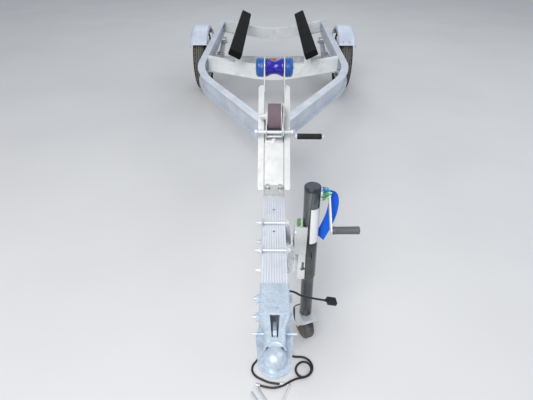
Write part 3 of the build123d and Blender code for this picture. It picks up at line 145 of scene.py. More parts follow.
class Graph:
    """Node graph of one procedural material, with the colour that it has so far."""

    def __init__(self, name: str, base: Tone) -> None:
        """Start a material with its shader.

        Args:
            name: Name of the material.
            base: Colour to start from.
        """
        self.material = bpy.data.materials.new(name)
        self.material.use_nodes = True
        self.tree = self.material.node_tree
        self.shader = self.tree.nodes["Principled BSDF"]
        self.place = self.node("ShaderNodeTexCoord").outputs["Object"]
        self.colour: Value = base.rgba()
        self.rounded: Socket | None = None

    def node(self, kind: str, **settings: object) -> bpy.types.Node:
        """Add a node.

        Args:
            kind: Type name of the node.
            settings: Properties of the node to set.

        Returns:
            The new node.
        """
        made = self.tree.nodes.new(kind)
        for key, value in settings.items():
            setattr(made, key, value)
        return made

    def feed(self, socket: Socket, value: Value) -> None:
        """Link an output to a socket, or set the socket's own value.

        Args:
            socket: Input socket.
            value: Output socket, number, vector or colour.
        """
        if isinstance(value, bpy.types.NodeSocket):
            self.tree.links.new(value, socket)
        else:
            socket.default_value = value

    def fill(self, node: bpy.types.Node, **values: Value) -> bpy.types.Node:
        """Feed a node's inputs by name.

        Args:
            node: The node.
            values: Values by input name, with spaces written as underscores.

        Returns:
            The node.
        """
        for name, value in values.items():
            self.feed(node.inputs[name.replace("_", " ")], value)
        return node

    def maths(self, operation: str, *values: Value) -> Socket:
        """Add a sum on numbers.

        Args:
            operation: Kind of sum.
            values: Its inputs in order.

        Returns:
            The result.
        """
        node = self.node("ShaderNodeMath", operation=operation)
        for socket, value in zip(node.inputs, values):
            self.feed(socket, value)
        return node.outputs["Value"]

    def stretched(self, scale: Point) -> Socket:
        """Scale the object's coordinates along each axis.

        Args:
            scale: Factors along X, Y and Z.

        Returns:
            The scaled coordinates.
        """
        mapping = self.fill(self.node("ShaderNodeMapping"), Vector=self.place, Scale=scale)
        return mapping.outputs["Vector"]

    def clouds(self, scale: float, detail: float = 4.0, where: Socket | None = None) -> Socket:
        """Add a noise field.

        Args:
            scale: Features per metre.
            detail: Number of finer layers.
            where: Coordinates, or None for the object's own.

        Returns:
            The field, around 0.5.
        """
        spot = self.place if where is None else where
        field = self.fill(self.node("ShaderNodeTexNoise"), Vector=spot, Scale=scale, Detail=detail)
        return field.outputs["Fac"]

    def cells(self, scale: float) -> Socket:
        """Add flat random cells, as in the spangle of hot-dip zinc.

        Args:
            scale: Cells per metre.

        Returns:
            One random level per cell.
        """
        field = self.fill(self.node("ShaderNodeTexVoronoi"), Vector=self.place, Scale=scale)
        split = self.fill(self.node("ShaderNodeSeparateColor"), Color=field.outputs["Color"])
        return split.outputs["Red"]

    def bands(self, scale: float, waver: float = 0.0) -> Socket:
        """Add soft bands that lie side by side along X.

        Args:
            scale: Scale of the bands.
            waver: How much they waver.

        Returns:
            The field, from zero to one.
        """
        wave = self.node("ShaderNodeTexWave", wave_type="BANDS", bands_direction="X")
        self.fill(wave, Vector=self.place, Scale=scale, Distortion=waver)
        return wave.outputs["Fac"]

    def spread(self, source: Value, low: float, high: float, span: Span = USUAL) -> Socket:
        """Map a field's span to another span, clamped.

        Args:
            source: Field to map.
            low: Result at the start of the span.
            high: Result at the end of the span.
            span: Start and end of the source's span.

        Returns:
            The mapped field.
        """
        node = self.fill(self.node("ShaderNodeMapRange"), Value=source, From_Min=span[0],
                         From_Max=span[1], To_Min=low, To_Max=high)
        return node.outputs["Result"]

    def blend(self, factor: Value, first: Value, second: Value) -> Socket:
        """Mix two colours.

        Args:
            factor: Share of the second colour.
            first: First colour.
            second: Second colour.

        Returns:
            The mixed colour.
        """
        node = self.node("ShaderNodeMix", data_type="RGBA")
        for index, value in zip(MIX_INPUTS, (factor, first, second)):
            self.feed(node.inputs[index], value)
        return node.outputs[MIX_OUTPUT]

    def tint(self, field: Value, tone: Tone, most: float, span: Span = USUAL) -> None:
        """Turn the colour so far towards a tone where a field is high.

        Args:
            field: The field.
            tone: Colour to turn to.
            most: Its share at the end of the field's span.
            span: Start and end of the field's span.
        """
        self.colour = self.blend(self.spread(field, 0.0, most, span), self.colour, tone.rgba())

    def dot(self, vector: Value, direction: Value) -> Socket:
        """Measure a vector along a direction.

        Args:
            vector: The vector.
            direction: The direction.

        Returns:
            The length along the direction.
        """
        node = self.node("ShaderNodeVectorMath", operation="DOT_PRODUCT")
        self.feed(node.inputs[0], vector)
        self.feed(node.inputs[1], direction)
        return node.outputs["Value"]

    def edges(self) -> Socket:
        """Round the edges off in the normal and find them, where a finish wears.

        Returns:
            Zero on flats, one on sharp edges.
        """
        bevel = self.fill(self.node("ShaderNodeBevel", samples=4), Radius=EDGE_RADIUS)
        self.rounded = bevel.outputs["Normal"]
        flat = self.node("ShaderNodeNewGeometry").outputs["Normal"]
        return self.spread(self.dot(self.rounded, flat), 1.0, 0.0, EDGE_SPAN)

    def off_axis(self, rows: Axis) -> Socket:
        """Measure the distance from an axis.

        Args:
            rows: The axis.

        Returns:
            The distance.
        """
        joined = self.node("ShaderNodeCombineXYZ")
        for socket, (direction, offset) in zip("XY", rows):
            shift = self.maths("SUBTRACT", self.dot(self.place, direction), offset)
            self.feed(joined.inputs[socket], shift)
        reach = self.node("ShaderNodeVectorMath", operation="LENGTH")
        self.feed(reach.inputs[0], joined.outputs["Vector"])
        return reach.outputs["Value"]

    def relief(self, fields: list[Bump]) -> None:
        """Chain bumps into the shader's normal.

        Args:
            fields: Rows of (height field, strength, distance).
        """
        normal = self.rounded
        for height, strength, distance in fields:
            bump = self.node("ShaderNodeBump")
            self.fill(bump, Height=height, Strength=strength, Distance=distance)
            if normal is not None:
                self.fill(bump, Normal=normal)
            normal = bump.outputs["Normal"]
        self.fill(self.shader, Normal=normal)

    def paint(self, roughness: Value, metallic: float = 0.0,
              **sockets: float) -> bpy.types.Material:
        """Set the shader's main sockets.

        Args:
            roughness: Roughness.
            metallic: Metallic level, the same all over.
            sockets: Other sockets by name, with spaces written as underscores.

        Returns:
            The finished material.
        """
        self.fill(self.shader, Base_Color=self.colour, Roughness=roughness, Metallic=metallic,
                  **sockets)
        return self.material


@dataclass(frozen=True)
class Metal:
    """Bare, plated or galvanised metal with drawn lines, spangle, stains and worn edges.

    Shares say how far a pattern turns the colour, and spans where in its field it starts and ends.
    Lines and spangle are features per metre. Grooves are that far apart, and their hollows are
    painted darker as painted shade.
    Painted shade lines run that far from the trailer's middle, along the bends of the post's web,
    and plates start that far from the jack's axis.
    """

    name: str
    light: Tone
    dark: Tone
    # Tone of real stains, also used for the painted shade lines along the post's bends
    stain_and_crease_shade: Tone = Tone(0.30, 0.28, 0.26)
    stain_share: float = 0.25
    stain_noise: Noise = (26.0, 8.0)
    stain_span: Span = (0.54, 0.72)
    roughness: float = 0.4
    smear_noise: Noise = (38.0, 5.0)
    smear: Span = (-0.07, 0.12)
    metallic: float = 0.5
    mottle: float = 0.6
    mottle_noise: Noise = (9.0, 6.0)
    lines: Point = (260.0, 5.0, 260.0)
    line_noise: Noise = (1.0, 3.0)
    line_share: float = 0.3
    line_depth: float = 0.25
    line_height: float = 0.0006
    pit_noise: Noise = (420.0, 2.0)
    pit_relief: Relief = (0.08, 0.0004)
    spangle: float = 0.0
    spangle_share: float = 0.3
    spangle_span: Span = (0.6, 1.0)
    spangle_relief: Relief = (0.12, 0.0005)
    # Grooves: the hollows between them are painted darker, as painted shade
    grooves: float = 0.0
    groove_shade_share: float = 0.45
    groove_shade_span: Span = (0.0, 0.35)
    groove_relief: Relief = (0.35, 0.0008)
    # Painted shade: a dark line this far either side of the trailer's middle, where the post's web
    # bends into its lips
    crease_shade_at: float = 0.0
    crease_shade_half: float = 0.0024
    crease_shade_share: float = 0.85
    plates: Tone | None = None
    plates_from: Span = (0.0256, 0.0262)
    plate_mottle: float = 0.5
    plate_roughness: float = 0.45

    def build(self) -> bpy.types.Material:
        """Make the material.

        Returns:
            The material.
        """
        graph = Graph(self.name, self.light)
        mottle = graph.clouds(*self.mottle_noise)
        drawn = graph.clouds(*self.line_noise, graph.stretched(self.lines))
        graph.tint(mottle, self.dark, self.mottle)
        graph.tint(drawn, self.dark, self.line_share)
        relief = [(drawn, self.line_depth, self.line_height),
                  (graph.clouds(*self.pit_noise), *self.pit_relief)]
        if self.spangle:
            flakes = graph.cells(self.spangle)
            graph.tint(flakes, self.dark, self.spangle_share, self.spangle_span)
            relief.append((flakes, *self.spangle_relief))
        if self.grooves:
            bands = graph.bands(WAVE_PITCH / self.grooves)
            # Painted shade: darken the hollows of the grooves
            hollows = graph.spread(bands, 1.0, 0.0, self.groove_shade_span)
            graph.tint(hollows, self.dark, self.groove_shade_share, FULL)
            relief.append((bands, *self.groove_relief))
        graph.tint(graph.clouds(*self.stain_noise), self.stain_and_crease_shade, self.stain_share, self.stain_span)
        graph.tint(graph.edges(), self.light, 1.0, FULL)
        graph.relief(relief)
        smears = graph.clouds(*self.smear_noise)
        rough = graph.spread(smears, *(self.roughness + part for part in self.smear))
        # Painted shade: dark lines along the bends between the post's web and its lips, in the
        # stain tone
        if self.crease_shade_at:
            away = graph.maths("ABSOLUTE", graph.dot(graph.place, (1.0, 0.0, 0.0)))
            crease_shade_line = graph.maths("COMPARE", away, self.crease_shade_at, self.crease_shade_half)
            graph.tint(crease_shade_line, self.stain_and_crease_shade, self.crease_shade_share, FULL)
        if self.plates:
            apart = graph.spread(graph.off_axis(JACK_AXIS), 0.0, 1.0, self.plates_from)
            share = graph.spread(mottle, 0.0, self.plate_mottle)
            bright = graph.blend(share, self.plates.rgba(), self.light.rgba())
            graph.colour = graph.blend(apart, graph.colour, bright)
            rough = graph.spread(apart, self.roughness, self.plate_roughness, FULL)
        return graph.paint(rough, self.metallic)


@dataclass(frozen=True)
class Rubber:
    """Rubber or moulded plastic with dust in its hollows and a fine moulded grain.

    The crown is the distance from the wheels' axis beyond which dust lies thick.
    """

    name: str
    base: Tone
    dust: Tone
    dust_share: float = 0.3
    roughness: float = 0.5
    haze: Span = (-0.08, 0.12)
    grain_noise: Noise = (900.0, 3.0)
    grain_depth: float = 0.15
    grain_height: float = 0.0004
    coat: float = 0.0
    coat_roughness: float = 0.12
    gloss: float = 0.5
    broad_noise: Noise = (14.0, 7.0)
    broad_span: Span = (0.4, 0.75)
    broad_relief: Relief = (0.05, 0.002)
    fine_noise: Noise = (160.0, 4.0)
    fine_span: Span = (0.5, 0.85)
    edge_share: float = 0.4
    crown: float = 0.0
    crown_height: float = 0.001
    crown_share: float = 0.7

    def build(self) -> bpy.types.Material:
        """Make the material.

        Returns:
            The material.
        """
        graph = Graph(self.name, self.base)
        broad = graph.clouds(*self.broad_noise)
        fine = graph.clouds(*self.fine_noise)
        graph.tint(broad, self.dust, self.dust_share, self.broad_span)
        graph.tint(fine, self.dust, self.dust_share, self.fine_span)
        graph.tint(graph.edges(), self.dust, self.edge_share, FULL)
        if self.crown:
            span = (self.crown - self.crown_height, self.crown)
            graph.tint(graph.off_axis(WHEEL_AXIS), self.dust, self.crown_share, span)
        graph.relief([(graph.clouds(*self.grain_noise), self.grain_depth, self.grain_height),
                      (broad, *self.broad_relief)])
        rough = graph.spread(fine, *(self.roughness + part for part in self.haze))
        return graph.paint(rough, Coat_Weight=self.coat, Coat_Roughness=self.coat_roughness,
                           Specular_IOR_Level=self.gloss)


@dataclass(frozen=True)
class Fabric:
    """Carpet or webbing: fibre tufts or a woven rib, with soft sheen.

    The weave is in features per metre along each axis, and the rib is the scale of its bands.
    """

    name: str
    base: Tone
    tip: Tone
    weave: Point = (700.0, 700.0, 700.0)
    tuft_noise: Noise = (1.0, 4.0)
    tuft_span: Span = (0.35, 0.7)
    tuft_height: float = 0.0016
    depth: float = 0.8
    patch_noise: Noise = (22.0, 6.0)
    patch_span: Span = (0.45, 0.75)
    patch_share: float = 0.4
    patch_relief: Relief = (0.2, 0.004)
    rib: float = 0.0
    rib_waver: float = 0.6
    rib_share: float = 0.35
    rib_relief: Relief = (0.5, 0.0008)
    roughness: Span = (0.78, 0.95)
    sheen: float = 0.3
    sheen_roughness: float = 0.6
    gloss: float = 0.12

    def build(self) -> bpy.types.Material:
        """Make the material.

        Returns:
            The material.
        """
        graph = Graph(self.name, self.base)
        tufts = graph.clouds(*self.tuft_noise, graph.stretched(self.weave))
        patches = graph.clouds(*self.patch_noise)
        graph.tint(tufts, self.tip, 1.0, self.tuft_span)
        graph.tint(patches, self.tip, self.patch_share, self.patch_span)
        relief = [(tufts, self.depth, self.tuft_height), (patches, *self.patch_relief)]
        if self.rib:
            ribs = graph.bands(self.rib, self.rib_waver)
            graph.tint(ribs, self.tip, self.rib_share, FULL)
            relief.append((ribs, *self.rib_relief))
        graph.relief(relief)
        return graph.paint(graph.spread(patches, *self.roughness), Sheen_Weight=self.sheen,
                           Sheen_Roughness=self.sheen_roughness, Specular_IOR_Level=self.gloss)


@dataclass(frozen=True)
class Ground:
    """Plain pale studio floor."""

    name: str = "studio_floor"
    tone: Tone = Tone(0.70, 0.70, 0.705)
    shade: Tone = Tone(0.66, 0.66, 0.67)
    patch_noise: Noise = (1.3, 5.0)
    grain_noise: Noise = (60.0, 3.0)
    grain_relief: Relief = (0.05, 0.001)
    roughness: Span = (0.68, 0.8)

    def build(self) -> bpy.types.Material:
        """Make the material.

        Returns:
            The material.
        """
        graph = Graph(self.name, self.tone)
        patches = graph.clouds(*self.patch_noise)
        graph.tint(patches, self.shade, 1.0)
        graph.relief([(graph.clouds(*self.grain_noise), *self.grain_relief)])
        return graph.paint(graph.spread(patches, *self.roughness))


SILVER = Tone(0.72, 0.77, 0.85)
SILVER_SHADE = Tone(0.48, 0.52, 0.58)
PALE = Tone(0.88, 0.90, 0.90)
PALE_SHADE = Tone(0.66, 0.69, 0.70)
ZINC = Tone(0.82, 0.84, 0.86)
ZINC_SHADE = Tone(0.44, 0.47, 0.51)
DUST = Tone(0.23, 0.22, 0.20)

ALONG_X = (5.0, 260.0, 260.0)
ALONG_Y = (260.0, 5.0, 260.0)

FINISHES = {
    "rail_aluminium": Metal(
        "aluminium_along_y", SILVER, SILVER_SHADE, lines=ALONG_Y, line_depth=0.35, metallic=0.35,
        stain_share=0.18,
    ),
    "aluminium_across": Metal(
        "aluminium_along_x", PALE, PALE_SHADE, lines=ALONG_X, line_depth=0.35, metallic=0.15,
        stain_share=0.18,
    ),
    # Grooved tongue: the hollows of its grooves carry painted shade
    "tongue_aluminium": Metal(
        "grooved_aluminium", Tone(0.80, 0.84, 0.91), SILVER_SHADE, lines=ALONG_Y, grooves=0.008,
        metallic=0.3, mottle=0.35, stain_share=0.12,
    ),
    "zinc": Metal(
        "zinc_plate", ZINC, ZINC_SHADE, spangle=170.0, lines=(90.0, 60.0, 60.0), line_depth=0.1,
        metallic=0.4,
    ),
    # The post's finish paints shade lines along the bends of its web
    "post_zinc": Metal(
        "post_zinc", Tone(0.66, 0.665, 0.655), Tone(0.48, 0.50, 0.52), spangle=120.0,
        spangle_share=0.2, roughness=0.42, lines=(60.0, 60.0, 20.0), line_depth=0.1,
        stain_share=0.18, metallic=0.2, crease_shade_at=0.0385,
    ),
    "bright_zinc": Metal(
        "bright_zinc", Tone(0.70, 0.71, 0.72), Tone(0.46, 0.49, 0.52), spangle=140.0,
        spangle_share=0.25, roughness=0.38, lines=(60.0, 60.0, 20.0), line_depth=0.1,
        stain_share=0.2, metallic=0.2,
    ),
    "coupler_zinc": Metal(
        "coupler_zinc", Tone(0.64, 0.73, 0.84), Tone(0.34, 0.42, 0.51), spangle=210.0,
        spangle_share=0.55, lines=(60.0, 60.0, 60.0), line_depth=0.1, stain_share=0.3, metallic=0.4,
        mottle=0.35,
    ),
    "galvanised": Metal(
        "hot_dip_zinc", Tone(0.70, 0.72, 0.75), Tone(0.36, 0.38, 0.42), spangle=90.0,
        spangle_share=0.7, roughness=0.46, lines=(60.0, 60.0, 60.0), stain_share=0.4,
    ),
    "dark_zinc": Metal(
        "glossy_zinc", Tone(0.17, 0.175, 0.18), Tone(0.05, 0.055, 0.055), roughness=0.14,
        lines=(120.0, 120.0, 2.0), line_depth=0.08, stain_share=0.2, metallic=0.9, mottle=1.0,
        plates=Tone(0.95, 0.98, 0.97),
    ),
    "ram_zinc": Metal(
        "ram_zinc", Tone(0.20, 0.205, 0.215), Tone(0.06, 0.065, 0.07), roughness=0.2,
        lines=(160.0, 160.0, 2.0), line_depth=0.2, stain_share=0.3, metallic=0.9, mottle=1.0,
    ),
    "fender_sheet": Metal(
        "fender_sheet", Tone(0.74, 0.80, 0.93), Tone(0.50, 0.56, 0.66), lines=(420.0, 3.0, 3.0),
        line_depth=0.35, stain_share=0.12, metallic=0.3,
    ),
    "carpet": Fabric(
        "bunk_carpet", Tone(0.003, 0.003, 0.004), Tone(0.011, 0.012, 0.014), sheen=0.01,
    ),
    "webbing": Fabric(
        "winch_webbing", Tone(0.105, 0.075, 0.09), Tone(0.24, 0.18, 0.21),
        weave=(1500.0, 500.0, 500.0), depth=0.5, rib=90.0, sheen=0.05,
    ),
    "tie_web": Fabric(
        "tie_webbing", Tone(0.003, 0.065, 0.60), Tone(0.02, 0.17, 0.80),
        weave=(900.0, 1500.0, 500.0), depth=0.5, sheen=0.05,
    ),
    "tyre": Rubber(
        "dusty_tyre", Tone(0.010, 0.010, 0.011), DUST, roughness=0.8, gloss=0.2, crown=0.2625,
    ),
    "caster_plastic": Rubber(
        "caster_rubber", Tone(0.03, 0.03, 0.031), Tone(0.30, 0.28, 0.26), dust_share=0.6,
        roughness=0.7, gloss=0.3,
    ),
    "roller_core": Rubber(
        "roller_core", Tone(0.006, 0.003, 0.30), Tone(0.02, 0.03, 0.36), dust_share=0.1,
        roughness=0.26, coat=0.35, grain_depth=0.02,
    ),
    "roller_bell": Rubber(
        "roller_bell", Tone(0.002, 0.075, 0.36), Tone(0.03, 0.18, 0.46), dust_share=0.15,
        roughness=0.32, coat=0.3, grain_depth=0.03,
    ),
    "black_grip": Rubber(
        "black_grip", Tone(0.006, 0.006, 0.007), Tone(0.05, 0.05, 0.055), dust_share=0.2,
        roughness=0.42, gloss=0.3,
    ),
    "grey_grip": Rubber("grey_grip", Tone(0.085, 0.088, 0.095), Tone(0.20, 0.20, 0.20)),
    "cap_plastic": Rubber(
        "cap_plastic", Tone(0.008, 0.013, 0.030), Tone(0.05, 0.06, 0.09), dust_share=0.15,
        roughness=0.34, coat=0.15,
    ),
    "lamp_black": Rubber(
        "lamp_housing", Tone(0.010, 0.010, 0.010), DUST, dust_share=0.2, roughness=0.4,
    ),
    "lamp_red": Rubber(
        "lamp_lens", Tone(0.38, 0.004, 0.006), Tone(0.26, 0.03, 0.03), dust_share=0.15,
        roughness=0.16, coat=0.6,
    ),
    "black_cable": Rubber(
        "cable_coating", Tone(0.005, 0.005, 0.006), Tone(0.04, 0.04, 0.04), dust_share=0.2,
        roughness=0.38,
    ),
    "label_white": Rubber(
        "blank_label", Tone(0.74, 0.76, 0.78), Tone(0.52, 0.53, 0.54), dust_share=0.2,
        roughness=0.35, grain_depth=0.05,
    ),
    "label_orange": Rubber(
        "orange_label", Tone(0.62, 0.12, 0.03), Tone(0.45, 0.20, 0.10), dust_share=0.25,
        roughness=0.4, grain_depth=0.05,
    ),
    "knot_green": Fabric("knot_green", Tone(0.03, 0.20, 0.03), Tone(0.14, 0.42, 0.11), depth=0.6),
    "knot_pale": Fabric("knot_pale", Tone(0.08, 0.42, 0.42), Tone(0.55, 0.72, 0.68), depth=0.6),
}

# Nodes with a finish of their own within their slot
OWN_FINISH = {
    "front_crossmember": "aluminium_across",
    "rear_crossmember": "aluminium_across",
    "bunk_brackets": "aluminium_across",
    "fender_brackets": "aluminium_across",
    "coupler": "coupler_zinc",
    "coupler_latch": "coupler_zinc",
    "jack_ram": "ram_zinc",
    "tongue_tube": "tongue_aluminium",
    "winch_post": "post_zinc",
    "winch_frame": "bright_zinc",
    "winch_drum": "bright_zinc",
}


class Wardrobe:
    """Builds each finish once and hands it out."""

    def __init__(self) -> None:
        """Start with nothing built."""
        self._made: dict[str, bpy.types.Material] = {}

    def material(self, key: str) -> bpy.types.Material:
        """Give the material of a finish.

        Args:
            key: Name of the finish.

        Returns:
            The material.
        """
        if key not in self._made:
            self._made[key] = FINISHES[key].build()
        return self._made[key]

    def dress(self, thing: bpy.types.Object, key: str) -> None:
        """Put a finish on an object in place of its own materials.

        Args:
            thing: Object to dress.
            key: Name of the finish.
        """
        material = self.material(key)
        if not thing.material_slots:
            thing.data.materials.append(material)
        for slot in thing.material_slots:
            slot.material = material

    def dress_nodes(self, frame: dict) -> None:
        """Give every node of the frame its finish.

        Args:
            frame: The loaded frame.
        """
        slots = {row["node"]: row["material_slot"] for row in frame["record"]["subparts"]}
        for name, node in frame["nodes"].items():
            self.dress(node, OWN_FINISH.get(name, slots[name]))


@dataclass(frozen=True)
class Placing:
    """Where a detail piece goes: its body, the record's slot and the nodes that it replaces."""

    body: Body
    slot: str
    finish: str
    replaces: tuple[str, ...] = ()


FASTENER = Placing(Body.TRAILER, "zinc", "zinc")

# Parts of a bolt: label, corners, radius, bottom and top, as shares of the width across its flats
BOLT_PARTS = (
    ("washer", 24, 0.75, 0.0, 0.12),
    ("head", 6, 0.577, 0.12, 0.72),
    ("shank", 16, 0.27, 0.72, 0.95),
)
BOLT_ROUNDING = 0.04


@contextmanager
def editing(selection: str = "SELECT") -> Iterator[None]:
    """Work on the active piece in edit mode.

    Args:
        selection: SELECT or DESELECT, what is done to the whole mesh first.

    Returns:
        A context that lasts as long as the edit.
    """
    bpy.ops.object.mode_set(mode="EDIT")
    bpy.ops.mesh.select_all(action=selection)
    yield
    bpy.ops.object.mode_set(mode="OBJECT")


@contextmanager
def picking(piece: bpy.types.Object, wanted: Callable[[Vector], bool]) -> Iterator[None]:
    """Work on some vertices of the active piece in edit mode.

    Args:
        piece: The piece.
        wanted: Says by a vertex' place whether it is selected.

    Returns:
        A context that lasts as long as the edit.
    """
    with editing("DESELECT"):
        bpy.ops.object.mode_set(mode="OBJECT")
        for vertex in piece.data.vertices:
            vertex.select = wanted(vertex.co)
        bpy.ops.object.mode_set(mode="EDIT")
        yield


def select_alone(piece: bpy.types.Object) -> None:
    """Select one object and nothing else, and make it active.

    Args:
        piece: The object.
    """
    bpy.ops.object.select_all(action="DESELECT")
    piece.select_set(True)
    bpy.context.view_layer.objects.active = piece


def middle(node: str) -> Vector:
    """Give the middle of a node's box.

    Args:
        node: Name of the node.

    Returns:
        The middle.
    """
    low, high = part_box(node)
    return (low + high) / 2


def metres(route: tuple[Point, ...]) -> list[Point]:
    """Give a route of millimetres in metres.

    Args:
        route: Points in millimetres.

    Returns:
        The points in metres.
    """
    return [tuple(value * MM for value in point) for point in route]


def smooth_curve(name: str, points: list[Point], steps: int, thick: float = 0.0, sides: int = 0,
                 ring: bool = False) -> bpy.types.Object:
    """Make one smooth curve that follows control points.

    Args:
        name: Name of the curve.
        points: The control points.
        steps: Steps between two control points.
        thick: Diameter, or zero for a bare line.
        sides: How finely the section is rounded.
        ring: Whether the curve is closed.

    Returns:
        The curve's object.
    """
    data = bpy.data.curves.new(name, "CURVE")
    data.dimensions = "3D"
    data.resolution_u = steps
    spline = data.splines.new("NURBS")
    spline.points.add(len(points) - 1)
    for control, point in zip(spline.points, points):
        control.co = (*point, 1.0)
    spline.order_u = 3
    spline.use_cyclic_u = ring
    spline.use_endpoint_u = not ring
    if thick:
        data.bevel_depth = thick / 2
        data.bevel_resolution = sides
        data.use_fill_caps = not ring
    curve = bpy.data.objects.new(name, data)
    bpy.context.scene.collection.objects.link(curve)
    return curve


class Workshop:
    """Makes detail pieces and puts them on the trailer."""

    def __init__(self, wardrobe: Wardrobe) -> None:
        """Keep the finishes at hand.

        Args:
            wardrobe: Finishes.
        """
        self.wardrobe = wardrobe

    def put(self, piece: bpy.types.Object, placing: Placing, place: Matrix | None = None) -> None:
        """Move a piece's mesh to its place, dress it and let it ride on its body.

        Args:
            piece: The piece.
            placing: Its body, slot, finish and replaced nodes.
            place: The mesh's axes to the trailer's axes, or None where it is in place.
        """
        if place is not None:
            piece.data.transform(place)
        self.wardrobe.dress(piece, placing.finish)
        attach(piece, placing.body.value)
        if placing.replaces:
            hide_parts(*placing.replaces)
        LOG.info("made %s", piece.name)

    @staticmethod
    def started(name: str) -> bpy.types.Object:
        """Name the object that was just added, select it alone and apply its place to its mesh.

        Args:
            name: Name of the piece.

        Returns:
            The piece.
        """
        piece = bpy.context.object
        piece.name = name
        piece.data.name = name
        select_alone(piece)
        bpy.ops.object.transform_apply(location=True, rotation=True, scale=True)
        return piece

    @staticmethod
    def modify(piece: bpy.types.Object, kind: str, **settings: object) -> None:
        """Add a modifier and apply it.

        Args:
            piece: The piece, active.
            kind: Type of the modifier.
            settings: Its properties.
        """
        bpy.ops.object.modifier_add(type=kind)
        modifier = piece.modifiers[-1]
        for key, value in settings.items():
            setattr(modifier, key, value)
        bpy.ops.object.modifier_apply(modifier=modifier.name)

    @staticmethod
    def closed(piece: bpy.types.Object, angle: float = SHARP) -> bpy.types.Object:
        """Merge the seams, turn the faces outwards and smooth what is not a sharp edge.

        Args:
            piece: The piece, active.
            angle: Angle above which an edge stays sharp.

        Returns:
            The piece.
        """
        with editing():
            bpy.ops.mesh.remove_doubles(threshold=MERGE_GAP)
            bpy.ops.mesh.normals_make_consistent(inside=False)
        bpy.ops.object.shade_smooth_by_angle(angle=radians(angle))
        return piece

    def copied(self, piece: bpy.types.Object, name: str) -> bpy.types.Object:
        """Copy a piece with a mesh of its own.

        Args:
            piece: The piece, not yet in its place.
            name: Name of the copy.

        Returns:
            The copy.
        """
        select_alone(piece)
        bpy.ops.object.duplicate(linked=False)
        return self.started(name)

    def traced(self, name: str, outline: list[Point]) -> bpy.types.Object:
        """Trace a closed outline by extruding one vertex from corner to corner.

        Args:
            name: Name of the piece.
            outline: Corners in order.

        Returns:
            The piece, active.
        """
        bpy.ops.mesh.primitive_plane_add(size=SEED_SIZE)
        piece = self.started(name)
        with editing():
            bpy.ops.mesh.merge(type="CENTER")
            bpy.ops.transform.translate(value=outline[0])
            for last, corner in zip(outline, outline[1:] + outline[:1]):
                step = tuple(Vector(corner) - Vector(last))
                bpy.ops.mesh.extrude_vertices_move(TRANSFORM_OT_translate={"value": step})
            bpy.ops.mesh.select_all(action="SELECT")
            bpy.ops.mesh.remove_doubles(threshold=MERGE_GAP)
        return piece

    def turned(self, name: str, profile: Profile, steps: int = 96) -> bpy.types.Object:
        """Spin a closed profile about the X axis.

        Args:
            name: Name of the piece.
            profile: Rows of (distance along the axis, radius), joined at the ends.
            steps: Number of steps round.

        Returns:
            The piece in its own axes.
        """
        piece = self.traced(name, [(along, radius, 0.0) for along, radius in profile])
        with editing():
            bpy.ops.mesh.spin(steps=steps, angle=2 * pi, center=(0.0, 0.0, 0.0),
                              axis=(1.0, 0.0, 0.0))
        return self.closed(piece)

    def slab(self, name: str, outline: list[Point], push: Point, soften: float) -> bpy.types.Object:
        """Extrude a flat outline into a thin slab with softened edges.

        Args:
            name: Name of the piece.
            outline: Corners in order.
            push: Direction and thickness.
            soften: Width of the softened edges.

        Returns:
            The piece.
        """
        piece = self.traced(name, outline)
        with editing():
            bpy.ops.mesh.edge_face_add()
            bpy.ops.mesh.extrude_region_move(TRANSFORM_OT_translate={"value": push})
            bpy.ops.mesh.select_all(action="SELECT")
            bpy.ops.mesh.normals_make_consistent(inside=False)
        self.modify(piece, "BEVEL", width=soften, segments=2, limit_method="ANGLE",
                    angle_limit=radians(SLAB_EDGE))
        return self.closed(piece, SLAB_SHARP)

    def bolt(self, name: str, across: float) -> bpy.types.Object:
        """Stack a washer, a hexagon head and the end of its shank, all with softened edges.

        Args:
            name: Name of the piece.
            across: Width across the flats.

        Returns:
            The bolt, with its seat at the origin and pointing up.
        """
        parts = []
        for label, corners, radius, low, high in BOLT_PARTS:
            bpy.ops.mesh.primitive_cylinder_add(vertices=corners, radius=radius * across,
                                                depth=(high - low) * across,
                                                location=(0.0, 0.0, (low + high) / 2 * across))
            parts.append(self.started(f"{name}_{label}"))
            with editing():
                bpy.ops.mesh.bevel(offset=BOLT_ROUNDING * across, segments=2, affect="EDGES")
        for part in parts:
            part.select_set(True)
        bpy.ops.object.join()
        return self.closed(self.started(name), BOLT_SHARP)

    def bolts(self, across: float, rows: list[tuple[str, Point, Point]]) -> None:
        """Model one bolt and put a copy at every seat.

        Args:
            across: Width across the flats.
            rows: Rows of (name, middle of the seat, direction out of the surface).
        """
        first = self.bolt(rows[0][0], across)
        pieces = [first] + [self.copied(first, row[0]) for row in rows[1:]]
        for piece, (_, seat, along) in zip(pieces, rows):
            turn_to = Vector(along).to_track_quat("Z", "Y").to_matrix().to_4x4()
            self.put(piece, FASTENER, Matrix.Translation(seat) @ turn_to)


